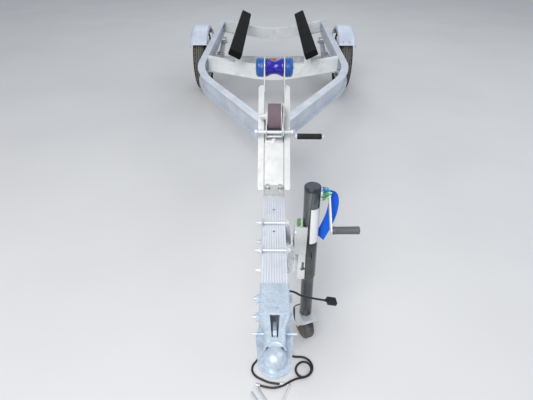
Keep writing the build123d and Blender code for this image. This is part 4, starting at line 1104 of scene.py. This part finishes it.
CABLE_LEFT = (
    (-18, -1700, 377.5), (-18, -1700, 330), (-20, -1696, 268), (-23, -1690, 206), (-28, -1684, 148),
    (-33, -1679, 98), (-39, -1675, 58), (-47, -1675, 26), (-60, -1682, 7), (-75, -1699, 4),
    (-76, -1722, 4), (-62, -1741, 4), (-38, -1753, 4), (-8, -1766, 4.6), (24, -1768, 5.2),
)
CABLE_RIGHT = (
    (18, -1700, 377.5), (18, -1700, 330), (21, -1696, 268), (26, -1690, 205), (32, -1684, 145),
    (40, -1677, 92), (49, -1671, 50), (62, -1667, 20), (82, -1663, 5), (106, -1661, 4),
    (129, -1669, 4), (144, -1690, 4), (144, -1716, 4), (128, -1737, 4), (102, -1744, 4),
    (82, -1727, 4.5), (83, -1702, 7), (103, -1685, 10), (127, -1689, 12.3), (140, -1709, 12.3),
    (134, -1733, 12.3), (112, -1747, 12.3), (84, -1752, 12.6), (60, -1763, 13), (36, -1779, 13),
    (8, -1785, 8), (-20, -1782, 5.2), (-45, -1775, 5.2),
)
LEAD = (
    (44, -1697, 405), (59, -1697, 405), (81, -1701, 390), (107, -1694, 373), (140, -1687, 357),
    (163, -1684, 349),
)
TIE = (
    (141, -1560, 687.4), (160, -1560, 692), (175, -1560, 668), (177.5, -1559, 624),
    (167, -1556, 562), (146, -1551, 500),
)


@dataclass(frozen=True)
class Cord:
    """A free round cord: its route in millimetres, its size and what it ends in."""

    name: str
    node: str
    route: tuple[Point, ...]
    length: float
    lay_kind: str
    with_nodes: tuple[str, ...]
    diameter: float = 0.0075
    far_end: str = "fitting"
    stiffness: str = "medium"
    body: Body = Body.TRAILER
    finish: str = "black_cable"

    def lay(self, wardrobe: Wardrobe, nodes: dict[str, bpy.types.Object]) -> None:
        """Args:
            wardrobe: Finishes.
            nodes: The frame's nodes by name. Not used.
        """
        line = metres(self.route)
        piece = smooth_curve(self.name, line, CORD_STEPS, thick=self.diameter, sides=5)
        wardrobe.dress(piece, self.finish)
        LOG.info("laid %s", self.name)
        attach(piece, self.body.value)
        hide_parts(self.node)


CORDS = (
    Cord("cable_left", "safety_cable_left", CABLE_LEFT, 0.536, "loose", ("cable_hooks",)),
    Cord("cable_right", "safety_cable_right", CABLE_RIGHT, 0.871, "coiled", ("cable_hooks",)),
    Cord("lead", "trailer_lead", LEAD, 0.135, "hanging", ("lead_plug",), 0.0065, "plug"),
)


@dataclass(frozen=True)
class Strap:
    """The tie strap: its route in millimetres, its webbing and how it twists on its way down."""

    route: tuple[Point, ...] = TIE
    length: float = 0.216
    width: float = 0.034
    thick: float = 0.0016
    twist: float = -52.0
    twist_rate: float = 2.8
    untwist: float = 0.25

    def line(self) -> list[Vector]:
        """Read the points of the route's smooth curve.

        Returns:
            Points of the curve, in order.
        """
        guide = smooth_curve("tie_guide", metres(self.route), CORD_STEPS)
        points = [vertex.co.copy() for vertex in bpy.data.meshes.new_from_object(guide).vertices]
        bpy.data.objects.remove(guide)
        return points

    def section(self, line: list[Vector], index: int) -> list[Vector]:
        """Give the corners of the flat section at a point of the line.

        Args:
            line: Points of the curve.
            index: Number of the point.

        Returns:
            Four corners in order.
        """
        ahead = line[min(index + 1, len(line) - 1)] - line[max(index - 1, 0)]
        flat = Vector((0, 1, 0)).cross(ahead).normalized()
        share = index / (len(line) - 1)
        gone = (sin(0.5 * pi * min(1.0, self.twist_rate * share))
                - self.untwist * max(0.0, share - 0.5))
        turn = Matrix.Rotation(radians(self.twist) * gone, 3, ahead.normalized())
        out = turn @ flat * (self.thick / 2)
        side = turn @ Vector((0, self.width / 2, 0))
        centre = line[index]
        return [centre + side + out, centre - side + out, centre - side - out, centre + side - out]

    def lay(self, workshop: Workshop) -> None:
        """Args:
            workshop: Maker of pieces.
        """
        line = self.line()
        points = [tuple(corner) for index in range(len(line))
                  for corner in self.section(line, index)]
        faces = []
        for start in range(0, len(points) - 4, 4):
            for corner in range(4):
                after = (corner + 1) % 4
                faces.append((start + corner, start + after, start + 4 + after, start + 4 + corner))
        faces += [(0, 1, 2, 3), tuple(range(len(points) - 4, len(points)))]
        mesh = bpy.data.meshes.new("tie_band")
        mesh.from_pydata(points, [], faces)
        piece = bpy.data.objects.new("tie_band", mesh)
        bpy.context.scene.collection.objects.link(piece)
        bpy.context.view_layer.objects.active = piece
        workshop.closed(workshop.started("tie_band"))
        workshop.put(piece, Placing(Body.JACK, "tie_web", "tie_web", ("tie_strap",)))


@dataclass
class SubAssembly:
    """What all sub-assemblies share: the workshop that makes their pieces."""

    workshop: Workshop

    def build(self) -> None:
        """Make the pieces and put them on the trailer."""
        raise NotImplementedError


# Half of the tyre's outline: rows of (distance from its middle, radius)
TREAD = [
    (0.0, 0.2660), (0.0065, 0.2660), (0.0075, 0.2595), (0.0130, 0.2595), (0.0140, 0.2657),
    (0.0235, 0.2650), (0.0245, 0.2588), (0.0300, 0.2588), (0.0310, 0.2642), (0.0385, 0.2628),
    (0.0450, 0.2595), (0.0500, 0.2555), (0.0530, 0.2500), (0.0555, 0.2420), (0.0578, 0.2280),
    (0.0588, 0.2130), (0.0590, 0.2100), (0.0582, 0.2030), (0.0586, 0.2000), (0.0570, 0.1920),
    (0.0520, 0.1740), (0.0470, 0.1655), (0.0440, 0.1640), (0.0440, 0.1523), (0.0340, 0.1523),
    (0.0340, 0.1720), (0.0450, 0.2120), (0.0410, 0.2400), (0.0160, 0.2520),
]


@dataclass
class Tyres(SubAssembly):
    """Both tyres, with grooved tread, shoulder lugs and sidewall rings."""

    half_track: float = 0.652
    steps: int = 192
    lug_every: int = 4
    lug_share: float = 0.985
    lug_from: float = 0.25
    lug_inner: float = 0.0383
    lug_outer: float = 0.0502

    def build(self) -> None:
        """Make one tyre and its copy."""
        outline = TREAD + [(-along, radius) for along, radius in reversed(TREAD[1:])]
        left = self.workshop.turned("tyre_left_tread", outline, self.steps)
        with picking(left, self.between_lugs):
            bpy.ops.transform.resize(value=(1.0, self.lug_share, self.lug_share),
                                     center_override=(0.0, 0.0, 0.0))
        right = self.workshop.copied(left, "tyre_right_tread")
        for side, tyre, body, node in ((-1, left, Body.WHEEL_LEFT, "tyre_left"),
                                       (1, right, Body.WHEEL_RIGHT, "tyre_right")):
            place = Matrix.Translation((side * self.half_track, AXLE_Y, AXLE_Z))
            self.workshop.put(tyre, Placing(body, "tyre", "tyre", (node,)), place)

    def between_lugs(self, spot: Vector) -> bool:
        """Say whether a vertex lies between two shoulder lugs.

        Args:
            spot: Its place in the tyre's own axes.

        Returns:
            Whether it does.
        """
        step = round(atan2(spot.z, spot.y) / (2 * pi) * self.steps) % self.lug_every
        shoulder = self.lug_inner < abs(spot.x) < self.lug_outer
        return step == 0 and shoulder and hypot(spot.y, spot.z) > self.lug_from


@dataclass
class Bunks(SubAssembly):
    """Both bunk boards wrapped in carpet."""

    length: float = 1.51
    width: float = 0.096
    thick: float = 0.045
    corner: float = 0.009
    front_y: float = 0.362
    middle_x: float = 0.263
    top_z: float = 0.575
    tilt: float = 25.0
    cuts: int = 60
    fold: float = 0.0016
    fold_size: float = 0.035
    fold_level: float = 0.62
    sharp: float = 60.0

    def build(self) -> None:
        """Make one board and its copy."""
        right = self.board("bunk_right_carpet")
        left = self.workshop.copied(right, "bunk_left_carpet")
        for side, board, node in ((1, right, "bunk_right"), (-1, left, "bunk_left")):
            top = Vector((side * self.middle_x, self.front_y + self.length / 2, self.top_z))
            place = (Matrix.Translation(top) @ Matrix.Rotation(radians(-side * self.tilt), 4, "Y")
                     @ Matrix.Translation((0.0, 0.0, -self.thick / 2)))
            self.workshop.put(board, Placing(Body.TRAILER, "carpet", "carpet", (node,)), place)

    def board(self, name: str) -> bpy.types.Object:
        """Make a board with rounded edges and the carpet's slight folds.

        Args:
            name: Name of the piece.

        Returns:
            The board in its own axes.
        """
        bpy.ops.mesh.primitive_cube_add(size=1.0, scale=(self.width, self.length, self.thick))
        board = self.workshop.started(name)
        with editing():
            bpy.ops.mesh.bevel(offset=self.corner, segments=5, affect="EDGES")
            for cut in range(1, self.cuts):
                along = -self.length / 2 + self.length * cut / self.cuts
                bpy.ops.mesh.select_all(action="SELECT")
                bpy.ops.mesh.bisect(plane_co=(0.0, along, 0.0), plane_no=(0.0, 1.0, 0.0))
        folds = bpy.data.textures.new("carpet_folds", "CLOUDS")
        folds.noise_scale = self.fold_size
        self.workshop.modify(board, "SUBSURF", subdivision_type="SIMPLE", levels=1, render_levels=1)
        self.workshop.modify(board, "DISPLACE", texture=folds, strength=self.fold,
                             mid_level=self.fold_level, texture_coords="LOCAL")
        return self.workshop.closed(board, self.sharp)


# Outline of a bell's rim: rows of (distance from its inner end, how far under its full radius)
BELL_RIM = (
    (0.0, 0.003), (0.003, 0.0), (0.012, 0.0), (0.013, 0.0015), (0.016, 0.0015), (0.017, 0.0),
)

# Outline of its rounded outer end: rows of (distance from that end, how far under its full radius)
BELL_END = (
    (0.010, 0.0005), (0.005, 0.003), (0.001, 0.009), (0.0, 0.013), (0.001, 0.018), (0.006, 0.020),
)

# Outline of the boss in that end: rows of (distance from that end, radius)
BELL_BOSS = ((0.006, 0.014), (0.001, 0.0125))


@dataclass
class BowRoller(SubAssembly):
    """Hourglass roller and its end bells with moulded rings, close to the post's arms."""

    half: float = 0.0364
    waist: float = 0.0262
    rim: float = 0.0362
    bore: float = 0.0066
    shoulder: float = 0.007
    rounding: float = 0.002
    curve_steps: int = 24
    bell_start: float = 0.0436
    bell_end: float = 0.0748
    bell_radius: float = 0.0384

    def build(self) -> None:
        """Make the roller and both bells."""
        place = Matrix.Translation(middle("roller_pin"))
        core = self.workshop.turned("bow_roller_core", self.core_profile())
        placing = Placing(Body.BOW_ROLLER, "roller_core", "roller_core", ("roller_core",))
        self.workshop.put(core, placing, place)
        right = self.workshop.turned("bow_roller_bell_right", self.bell_profile())
        left = self.workshop.copied(right, "bow_roller_bell_left")
        bell = (Body.BOW_ROLLER, "roller_bell", "roller_bell")
        self.workshop.put(right, Placing(*bell, ("roller_bells",)), place)
        self.workshop.put(left, Placing(*bell), place @ Matrix.Rotation(pi, 4, "Z"))

    def core_profile(self) -> Profile:
        """Give the roller's outline.

        Returns:
            Rows of (distance from its middle, radius).
        """
        half, rim, reach, ease = self.half, self.rim, self.half - self.shoulder, self.rounding
        profile = [(-half, self.bore), (-half, rim - ease), (-half + ease, rim), (-reach, rim)]
        for index in range(1, self.curve_steps):
            share = -1 + 2 * index / self.curve_steps
            profile.append((share * reach, self.waist + (rim - self.waist) * share * share))
        return profile + [(reach, rim), (half - ease, rim), (half, rim - ease), (half, self.bore)]

    def bell_profile(self) -> Profile:
        """Give a bell's outline.

        Returns:
            Rows of (distance from the roller's middle, radius).
        """
        start, end, radius = self.bell_start, self.bell_end, self.bell_radius
        profile = [(start, self.bore)]
        profile += [(start + along, radius - under) for along, under in BELL_RIM]
        profile += [(end - along, radius - under) for along, under in BELL_END]
        profile += [(end - along, reach) for along, reach in BELL_BOSS]
        return profile + [(profile[-1][0], self.bore)]


@dataclass
class PostTrim(SubAssembly):
    """Rounded ends of the post's arms, the bolts of its foot and the winch's bolted front edge.

    Sizes along the post are measured from its foot, and heights from the front edges of its arms.
    """

    lean: float = 46.6
    foot_y: float = -1.251
    foot_z: float = 0.482
    cheek_radius: float = 0.0395
    cheek_inner: float = 0.0377
    cheek_thick: float = 0.0046
    cheek_reach: float = 0.105
    cheek_front: float = 0.0015
    cheek_depth: float = 0.034
    cheek_arc: tuple[int, int, int] = (-115, 126, 8)
    bolt_x: float = 0.024
    bolt_y: float = -1.272
    bolt_z: float = 0.4995
    bolt_across: float = 0.0125
    step_low: float = 0.181
    step_high: float = 0.2165
    step_half: float = 0.0365
    step_height: float = -0.0062
    step_thick: float = 0.0036
    step_bolt: float = 0.2005
    step_bolt_across: float = 0.015
    soften: float = 0.0006

    def build(self) -> None:
        """Make the arm ends, the foot's bolts and the winch's front edge."""
        self.cheeks()
        up = (0.0, 0.0, 1.0)
        rows = [(f"foot_bolt_{name}", (side * self.bolt_x, self.bolt_y, self.bolt_z), up)
                for side, name in SIDES]
        self.workshop.bolts(self.bolt_across, rows)
        self.step()

    def axes(self) -> tuple[Vector, Vector]:
        """Give the directions along the post and out of its front."""
        rise = radians(self.lean)
        return Vector((0.0, cos(rise), sin(rise))), Vector((0.0, -sin(rise), cos(rise)))

    def cheeks(self) -> None:
        """Make one rounded arm end and its copy."""
        along, front = self.axes()
        base = middle("roller_pin") + Vector((self.cheek_inner, 0.0, 0.0))
        corners = [(-self.cheek_reach, self.cheek_front), (-self.cheek_reach, -self.cheek_depth)]
        radius = self.cheek_radius
        corners += [(radius * cos(radians(angle)), radius * sin(radians(angle)))
                    for angle in range(*self.cheek_arc)]
        outline = [tuple(base + along * reach + front * height) for reach, height in corners]
        push = (self.cheek_thick, 0.0, 0.0)
        right = self.workshop.slab("arm_cheek_right", outline, push, self.soften)
        left = self.workshop.copied(right, "arm_cheek_left")
        placing = Placing(Body.TRAILER, "zinc", "bright_zinc")
        self.workshop.put(right, placing)
        across = -2 * self.cheek_inner - self.cheek_thick
        self.workshop.put(left, placing, Matrix.Translation((across, 0.0, 0.0)))

    def step(self) -> None:
        """Make the winch's front edge, which closes the web's recess, and its bolt."""
        along, front = self.axes()
        foot = Vector((0.0, self.foot_y, self.foot_z)) + front * self.step_height
        corners = ((-self.step_half, self.step_low), (self.step_half, self.step_low),
                   (self.step_half, self.step_high), (-self.step_half, self.step_high))
        outline = [tuple(foot + along * reach + Vector((x, 0.0, 0.0))) for x, reach in corners]
        push = tuple(front * -self.step_thick)
        piece = self.workshop.slab("winch_front_edge", outline, push, self.soften)
        self.workshop.put(piece, Placing(Body.TRAILER, "zinc", "bright_zinc"))
        seat = tuple(foot + along * self.step_bolt)
        self.workshop.bolts(self.step_bolt_across, [("winch_front_bolt", seat, tuple(front))])


# Outline of a rib on the winch's grip: rows of (distance past its start, share of the radius)
GRIP_RIB = ((0.0, 1.0), (0.0012, 0.9), (0.003, 0.9), (0.0042, 1.0))


@dataclass
class WinchTrim(SubAssembly):
    """Wound webbing with the edges of its turns, and the ribbed grip."""

    strap_edge: float = 0.0248
    strap_outer: float = 0.0488
    strap_core: float = 0.0196
    turns: int = 19
    turn_step: float = 0.0008
    turn_from: float = 0.0006
    bulge: float = 0.0002
    dip: float = 0.0001
    core_edge: float = 0.001
    ribs: int = 9
    rib_from: float = 0.008
    rib_free: float = 0.018
    grip_bore: float = 0.0056
    grip_round: float = 0.003
    grip_end: float = 0.8
    steps: int = 72
    grip_steps: int = 48

    def build(self) -> None:
        """Make the roll of webbing and the grip."""
        roll = self.workshop.turned("strap_roll", self.roll_profile(), self.steps)
        self.workshop.put(roll, Placing(Body.TRAILER, "webbing", "webbing", ("winch_strap",)),
                          Matrix.Translation(middle("winch_strap")))
        low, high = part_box("winch_grip")
        place = Matrix.Translation((low.x, (low.y + high.y) / 2, (low.z + high.z) / 2))
        profile = self.grip_profile(high.x - low.x, (high.z - low.z) / 2)
        grip = self.workshop.turned("winch_grip_ribbed", profile, self.grip_steps)
        placing = Placing(Body.TRAILER, "black_grip", "black_grip", ("winch_grip",))
        self.workshop.put(grip, placing, place)

    def roll_profile(self) -> Profile:
        """Give the outline of the wound webbing.

        Returns:
            Rows of (distance from its middle, radius).
        """
        edge, outer, core = self.strap_edge, self.strap_outer, self.strap_core
        first = self.turn_from
        layer = (outer - core) / (self.turns * 2)
        profile = [(-edge + first, outer), (-edge / 2, outer + self.bulge),
                   (edge / 2, outer - self.dip), (edge - first, outer)]
        ins = [self.turn_step if index % 2 else 0.0 for index in range(self.turns * 2)]
        profile += [(edge - inward, outer - first - layer * index)
                    for index, inward in enumerate(ins)]
        profile += [(edge - self.core_edge, core), (-edge + self.core_edge, core)]
        profile += [(-edge + inward, core + first + layer * index)
                    for index, inward in enumerate(ins)]
        return profile

    def grip_profile(self, length: float, radius: float) -> Profile:
        """Give the grip's ribbed outline.

        Args:
            length: Length of the grip.
            radius: Its largest radius.

        Returns:
            Rows of (distance from its inner end, radius).
        """
        ends = radius * self.grip_end
        profile = [(0.0, self.grip_bore), (0.0, ends), (self.grip_round, radius)]
        for index in range(self.ribs):
            start = self.rib_from + index * (length - self.rib_free) / self.ribs
            profile += [(start + along, radius * share) for along, share in GRIP_RIB]
        profile += [(length - self.grip_round, radius), (length, ends), (length, self.grip_bore)]
        return profile


# Waves along a knot's cord: how often it swells, sways and turns both ways, and how far
KNOT_RATES = (5, 7, 3, 2)
KNOT_SWELL = 0.32
KNOT_SWAY = 0.55


@dataclass(frozen=True)
class Knot:
    """A small tangle of thin cord: its middle, radius, cord, finish, number of points and turn."""

    name: str
    centre: Point
    size: float
    thick: float
    finish: str
    count: int = 31
    phase: float = 0.0

    def points(self) -> list[Point]:
        """Cross waves at whole-number rates, so that the cord closes into a tangle.

        Returns:
            Control points of the cord.
        """
        swells, sways, overs, unders = KNOT_RATES
        points = []
        for index in range(self.count):
            angle = 2 * pi * index / self.count + self.phase
            around = self.size * (1.0 - KNOT_SWELL + KNOT_SWELL * cos(swells * angle))
            sideways = self.size * KNOT_SWAY * sin(sways * angle)
            offset = Vector((sideways, around * cos(overs * angle), around * sin(unders * angle)))
            points.append(tuple(Vector(self.centre) + offset))
        return points


KNOTS = (
    Knot("crank_knot_green", (0.1480, -1.5640, 0.6760), 0.017, 0.0052, "knot_green"),
    Knot("crank_knot_pale", (0.1560, -1.5670, 0.6800), 0.0165, 0.0045, "knot_pale", phase=0.7),
    Knot("tie_end", (0.0755, -1.5620, 0.5660), 0.0125, 0.0042, "knot_green", 23, 0.3),
)

# Half outlines of the jack's grip: rows of (distance from its end, share of its radius)
GRIP_INNER = ((0.0, 0.9), (0.002, 1.0), (0.006, 1.0), (0.008, 0.94))
GRIP_OUTER = ((0.008, 0.97), (0.006, 1.0), (0.002, 1.0), (0.0, 0.9))


@dataclass
class JackTrim(SubAssembly):
    """The jack's grip, its blank label, the knots at the crank and the short tied end."""

    lean: float = 1.15
    foot: Point = (0.115, -1.56, 0.452)
    grip_half: float = 0.038
    grip_radius: float = 0.0117
    grip_bore: float = 0.0050
    grip_waist: float = 0.95
    grip_steps: int = 48
    label_radius: float = 0.0251
    label_thick: float = 0.0003
    label_low: float = 0.046
    label_high: float = 0.180
    label_from: float = -100.0
    label_to: float = -18.0
    label_steps: int = 90

    def build(self) -> None:
        """Make the grip, the label and the knots."""
        self.grip()
        self.label()
        for knot in KNOTS:
            piece = smooth_curve(knot.name, knot.points(), steps=6, thick=knot.thick, sides=4,
                                 ring=True)
            self.workshop.put(piece, Placing(Body.JACK, "tie_web", knot.finish))

    def leaned(self, foot: Vector) -> Matrix:
        """Give the axes of a piece that stands at a place and leans as the jack does.

        Args:
            foot: The place.

        Returns:
            Its axes to the trailer's axes.
        """
        return Matrix.Translation(foot) @ Matrix.Rotation(radians(-self.lean), 4, "Y")

    def grip(self) -> None:
        """Make the straight grip with a collar at each end."""
        half, radius = self.grip_half, self.grip_radius
        profile = [(-half, self.grip_bore)]
        profile += [(-half + along, radius * share) for along, share in GRIP_INNER]
        profile += [(0.0, radius * self.grip_waist)]
        profile += [(half - along, radius * share) for along, share in GRIP_OUTER]
        profile += [(half, self.grip_bore)]
        grip = self.workshop.turned("jack_grip_collared", profile, self.grip_steps)
        placing = Placing(Body.JACK, "black_grip", "grey_grip", ("jack_grip",))
        self.workshop.put(grip, placing, self.leaned(middle("jack_grip")))

    def label(self) -> None:
        """Stick the blank label round the front of the tube."""
        low, high = self.label_low, self.label_high
        bpy.ops.mesh.primitive_cylinder_add(vertices=self.label_steps, radius=self.label_radius,
                                            depth=high - low, end_fill_type="NOTHING",
                                            location=(0.0, 0.0, (low + high) / 2))
        piece = self.workshop.started("jack_label")
        with picking(piece, self.off_label):
            bpy.ops.mesh.delete(type="VERT")
        self.workshop.modify(piece, "SOLIDIFY", thickness=self.label_thick, offset=1.0)
        placing = Placing(Body.JACK, "cap_plastic", "label_white")
        self.workshop.put(self.workshop.closed(piece), placing, self.leaned(Vector(self.foot)))

    def off_label(self, spot: Vector) -> bool:
        """Say whether a vertex of the tube lies beside the label.

        Args:
            spot: Its place in the tube's own axes.

        Returns:
            Whether it does.
        """
        return not self.label_from <= degrees(atan2(spot.y, spot.x)) <= self.label_to


@dataclass
class FenderTrim(SubAssembly):
    """Two bolts near the front edge of each fender."""

    radius: float = 0.304
    angle: float = 136.0
    shares: tuple[float, ...] = (0.28, 0.62)
    across: float = 0.011

    def build(self) -> None:
        """Make the bolts."""
        low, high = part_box("fender_right")
        out = Vector((0.0, cos(radians(self.angle)), sin(radians(self.angle))))
        front = Vector((0.0, AXLE_Y, AXLE_Z)) + out * self.radius
        rows = []
        for side, name in SIDES:
            for index, share in enumerate(self.shares):
                x = side * (low.x + (high.x - low.x) * share)
                rows.append((f"fender_bolt_{name}_{index}", (x, front.y, front.z), tuple(out)))
        self.workshop.bolts(self.across, rows)


@dataclass
class AxleLabel(SubAssembly):
    """The blank orange label on the front of the axle beam."""

    left: float = -0.035
    right: float = 0.032
    low: float = 0.248
    high: float = 0.284
    front_y: float = 1.2449
    thick: float = 0.0004
    soften: float = 0.00016

    def build(self) -> None:
        """Make the label."""
        rim = ((self.left, self.low), (self.left, self.high),
               (self.right, self.high), (self.right, self.low))
        corners = [(x, self.front_y, z) for x, z in rim]
        push = (0.0, -self.thick, 0.0)
        piece = self.workshop.slab("axle_label", corners, push, self.soften)
        self.workshop.put(piece, Placing(Body.TRAILER, "webbing", "label_orange"))


SUBASSEMBLIES = (Tyres, Bunks, BowRoller, PostTrim, WinchTrim, JackTrim, FenderTrim, AxleLabel)


@dataclass(frozen=True)
class Lamp:
    """One soft light."""

    name: str
    spot: Point
    aim: Point
    size: float
    watts: float
    tone: Tone


LAMPS = (
    Lamp("key", (-1.5, -4.4, 4.4), (0.0, -0.3, 0.3), 2.6, 150.0, Tone(1.0, 0.985, 0.96)),
    Lamp("fill", (4.2, -0.5, 4.0), (0.0, 0.0, 0.3), 4.5, 60.0, Tone(0.92, 0.96, 1.0)),
    Lamp("front", (-0.4, -3.9, 2.3), (0.0, -1.0, 0.6), 1.6, 30.0, Tone(1.0, 0.99, 0.97)),
    Lamp("back", (0.0, 4.6, 4.6), (0.0, 0.5, 0.3), 4.0, 45.0, Tone(0.95, 0.98, 1.0)),
)


@dataclass
class Studio:
    """Camera, floor, lights and view settings."""

    eye: Point = (-0.014, -2.509, 1.327)
    look_down: float = 35.5
    turn: float = 0.66
    focal_pixels: float = 390.0
    width_pixels: float = 533.0
    sensor_mm: float = 36.0
    near: float = 0.05
    floor_size: float = 60.0
    ambient: Tone = Tone(0.90, 0.94, 1.0)
    ambient_level: float = 0.52

    def camera(self) -> None:
        """Set the camera where the photograph was taken from."""
        bpy.ops.object.camera_add(location=self.eye,
                                  rotation=(radians(90 - self.look_down), 0.0, radians(self.turn)))
        view = bpy.context.object
        view.name = "photo_camera"
        view.data.sensor_fit = "HORIZONTAL"
        view.data.sensor_width = self.sensor_mm
        view.data.lens = self.focal_pixels / self.width_pixels * self.sensor_mm
        view.data.clip_start = self.near
        bpy.context.scene.camera = view

    def floor(self) -> None:
        """Lay the pale floor."""
        bpy.ops.mesh.primitive_plane_add(size=self.floor_size, location=(0.0, 0.0, 0.0))
        ground = bpy.context.object
        ground.name = "floor"
        ground.data.materials.append(Ground().build())

    def lights(self) -> None:
        """Hang the soft lights and set the surrounding light."""
        for lamp in LAMPS:
            bpy.ops.object.light_add(type="AREA", location=lamp.spot)
            light = bpy.context.object
            light.name = f"{lamp.name}_light"
            light.data.shape = "DISK"
            light.data.size = lamp.size
            light.data.energy = lamp.watts
            light.data.color = lamp.tone.rgba()[:3]
            aim = Vector(lamp.aim) - Vector(lamp.spot)
            light.rotation_euler = aim.to_track_quat("-Z", "Y").to_euler()
        world = bpy.data.worlds.new("studio")
        world.use_nodes = True
        ambient = world.node_tree.nodes["Background"]
        ambient.inputs["Color"].default_value = self.ambient.rgba()
        ambient.inputs["Strength"].default_value = self.ambient_level
        bpy.context.scene.world = world

    def settings(self) -> None:
        """Set the view transform."""
        bpy.context.scene.view_settings.view_transform = "Standard"


def main() -> None:
    """Build the scene: camera and cords first, then finishes, details, floor and lights."""
    logging.basicConfig(level=logging.INFO)
    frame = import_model()
    wardrobe = Wardrobe()
    workshop = Workshop(wardrobe)
    studio = Studio()
    studio.camera()
    for cord in CORDS:
        cord.lay(wardrobe, frame["nodes"])
    Strap().lay(workshop)
    wardrobe.dress_nodes(frame)
    for kind in SUBASSEMBLIES:
        LOG.info("building %s", kind.__name__)
        kind(workshop).build()
    studio.floor()
    studio.lights()
    studio.settings()


if __name__ == "__main__":
    main()
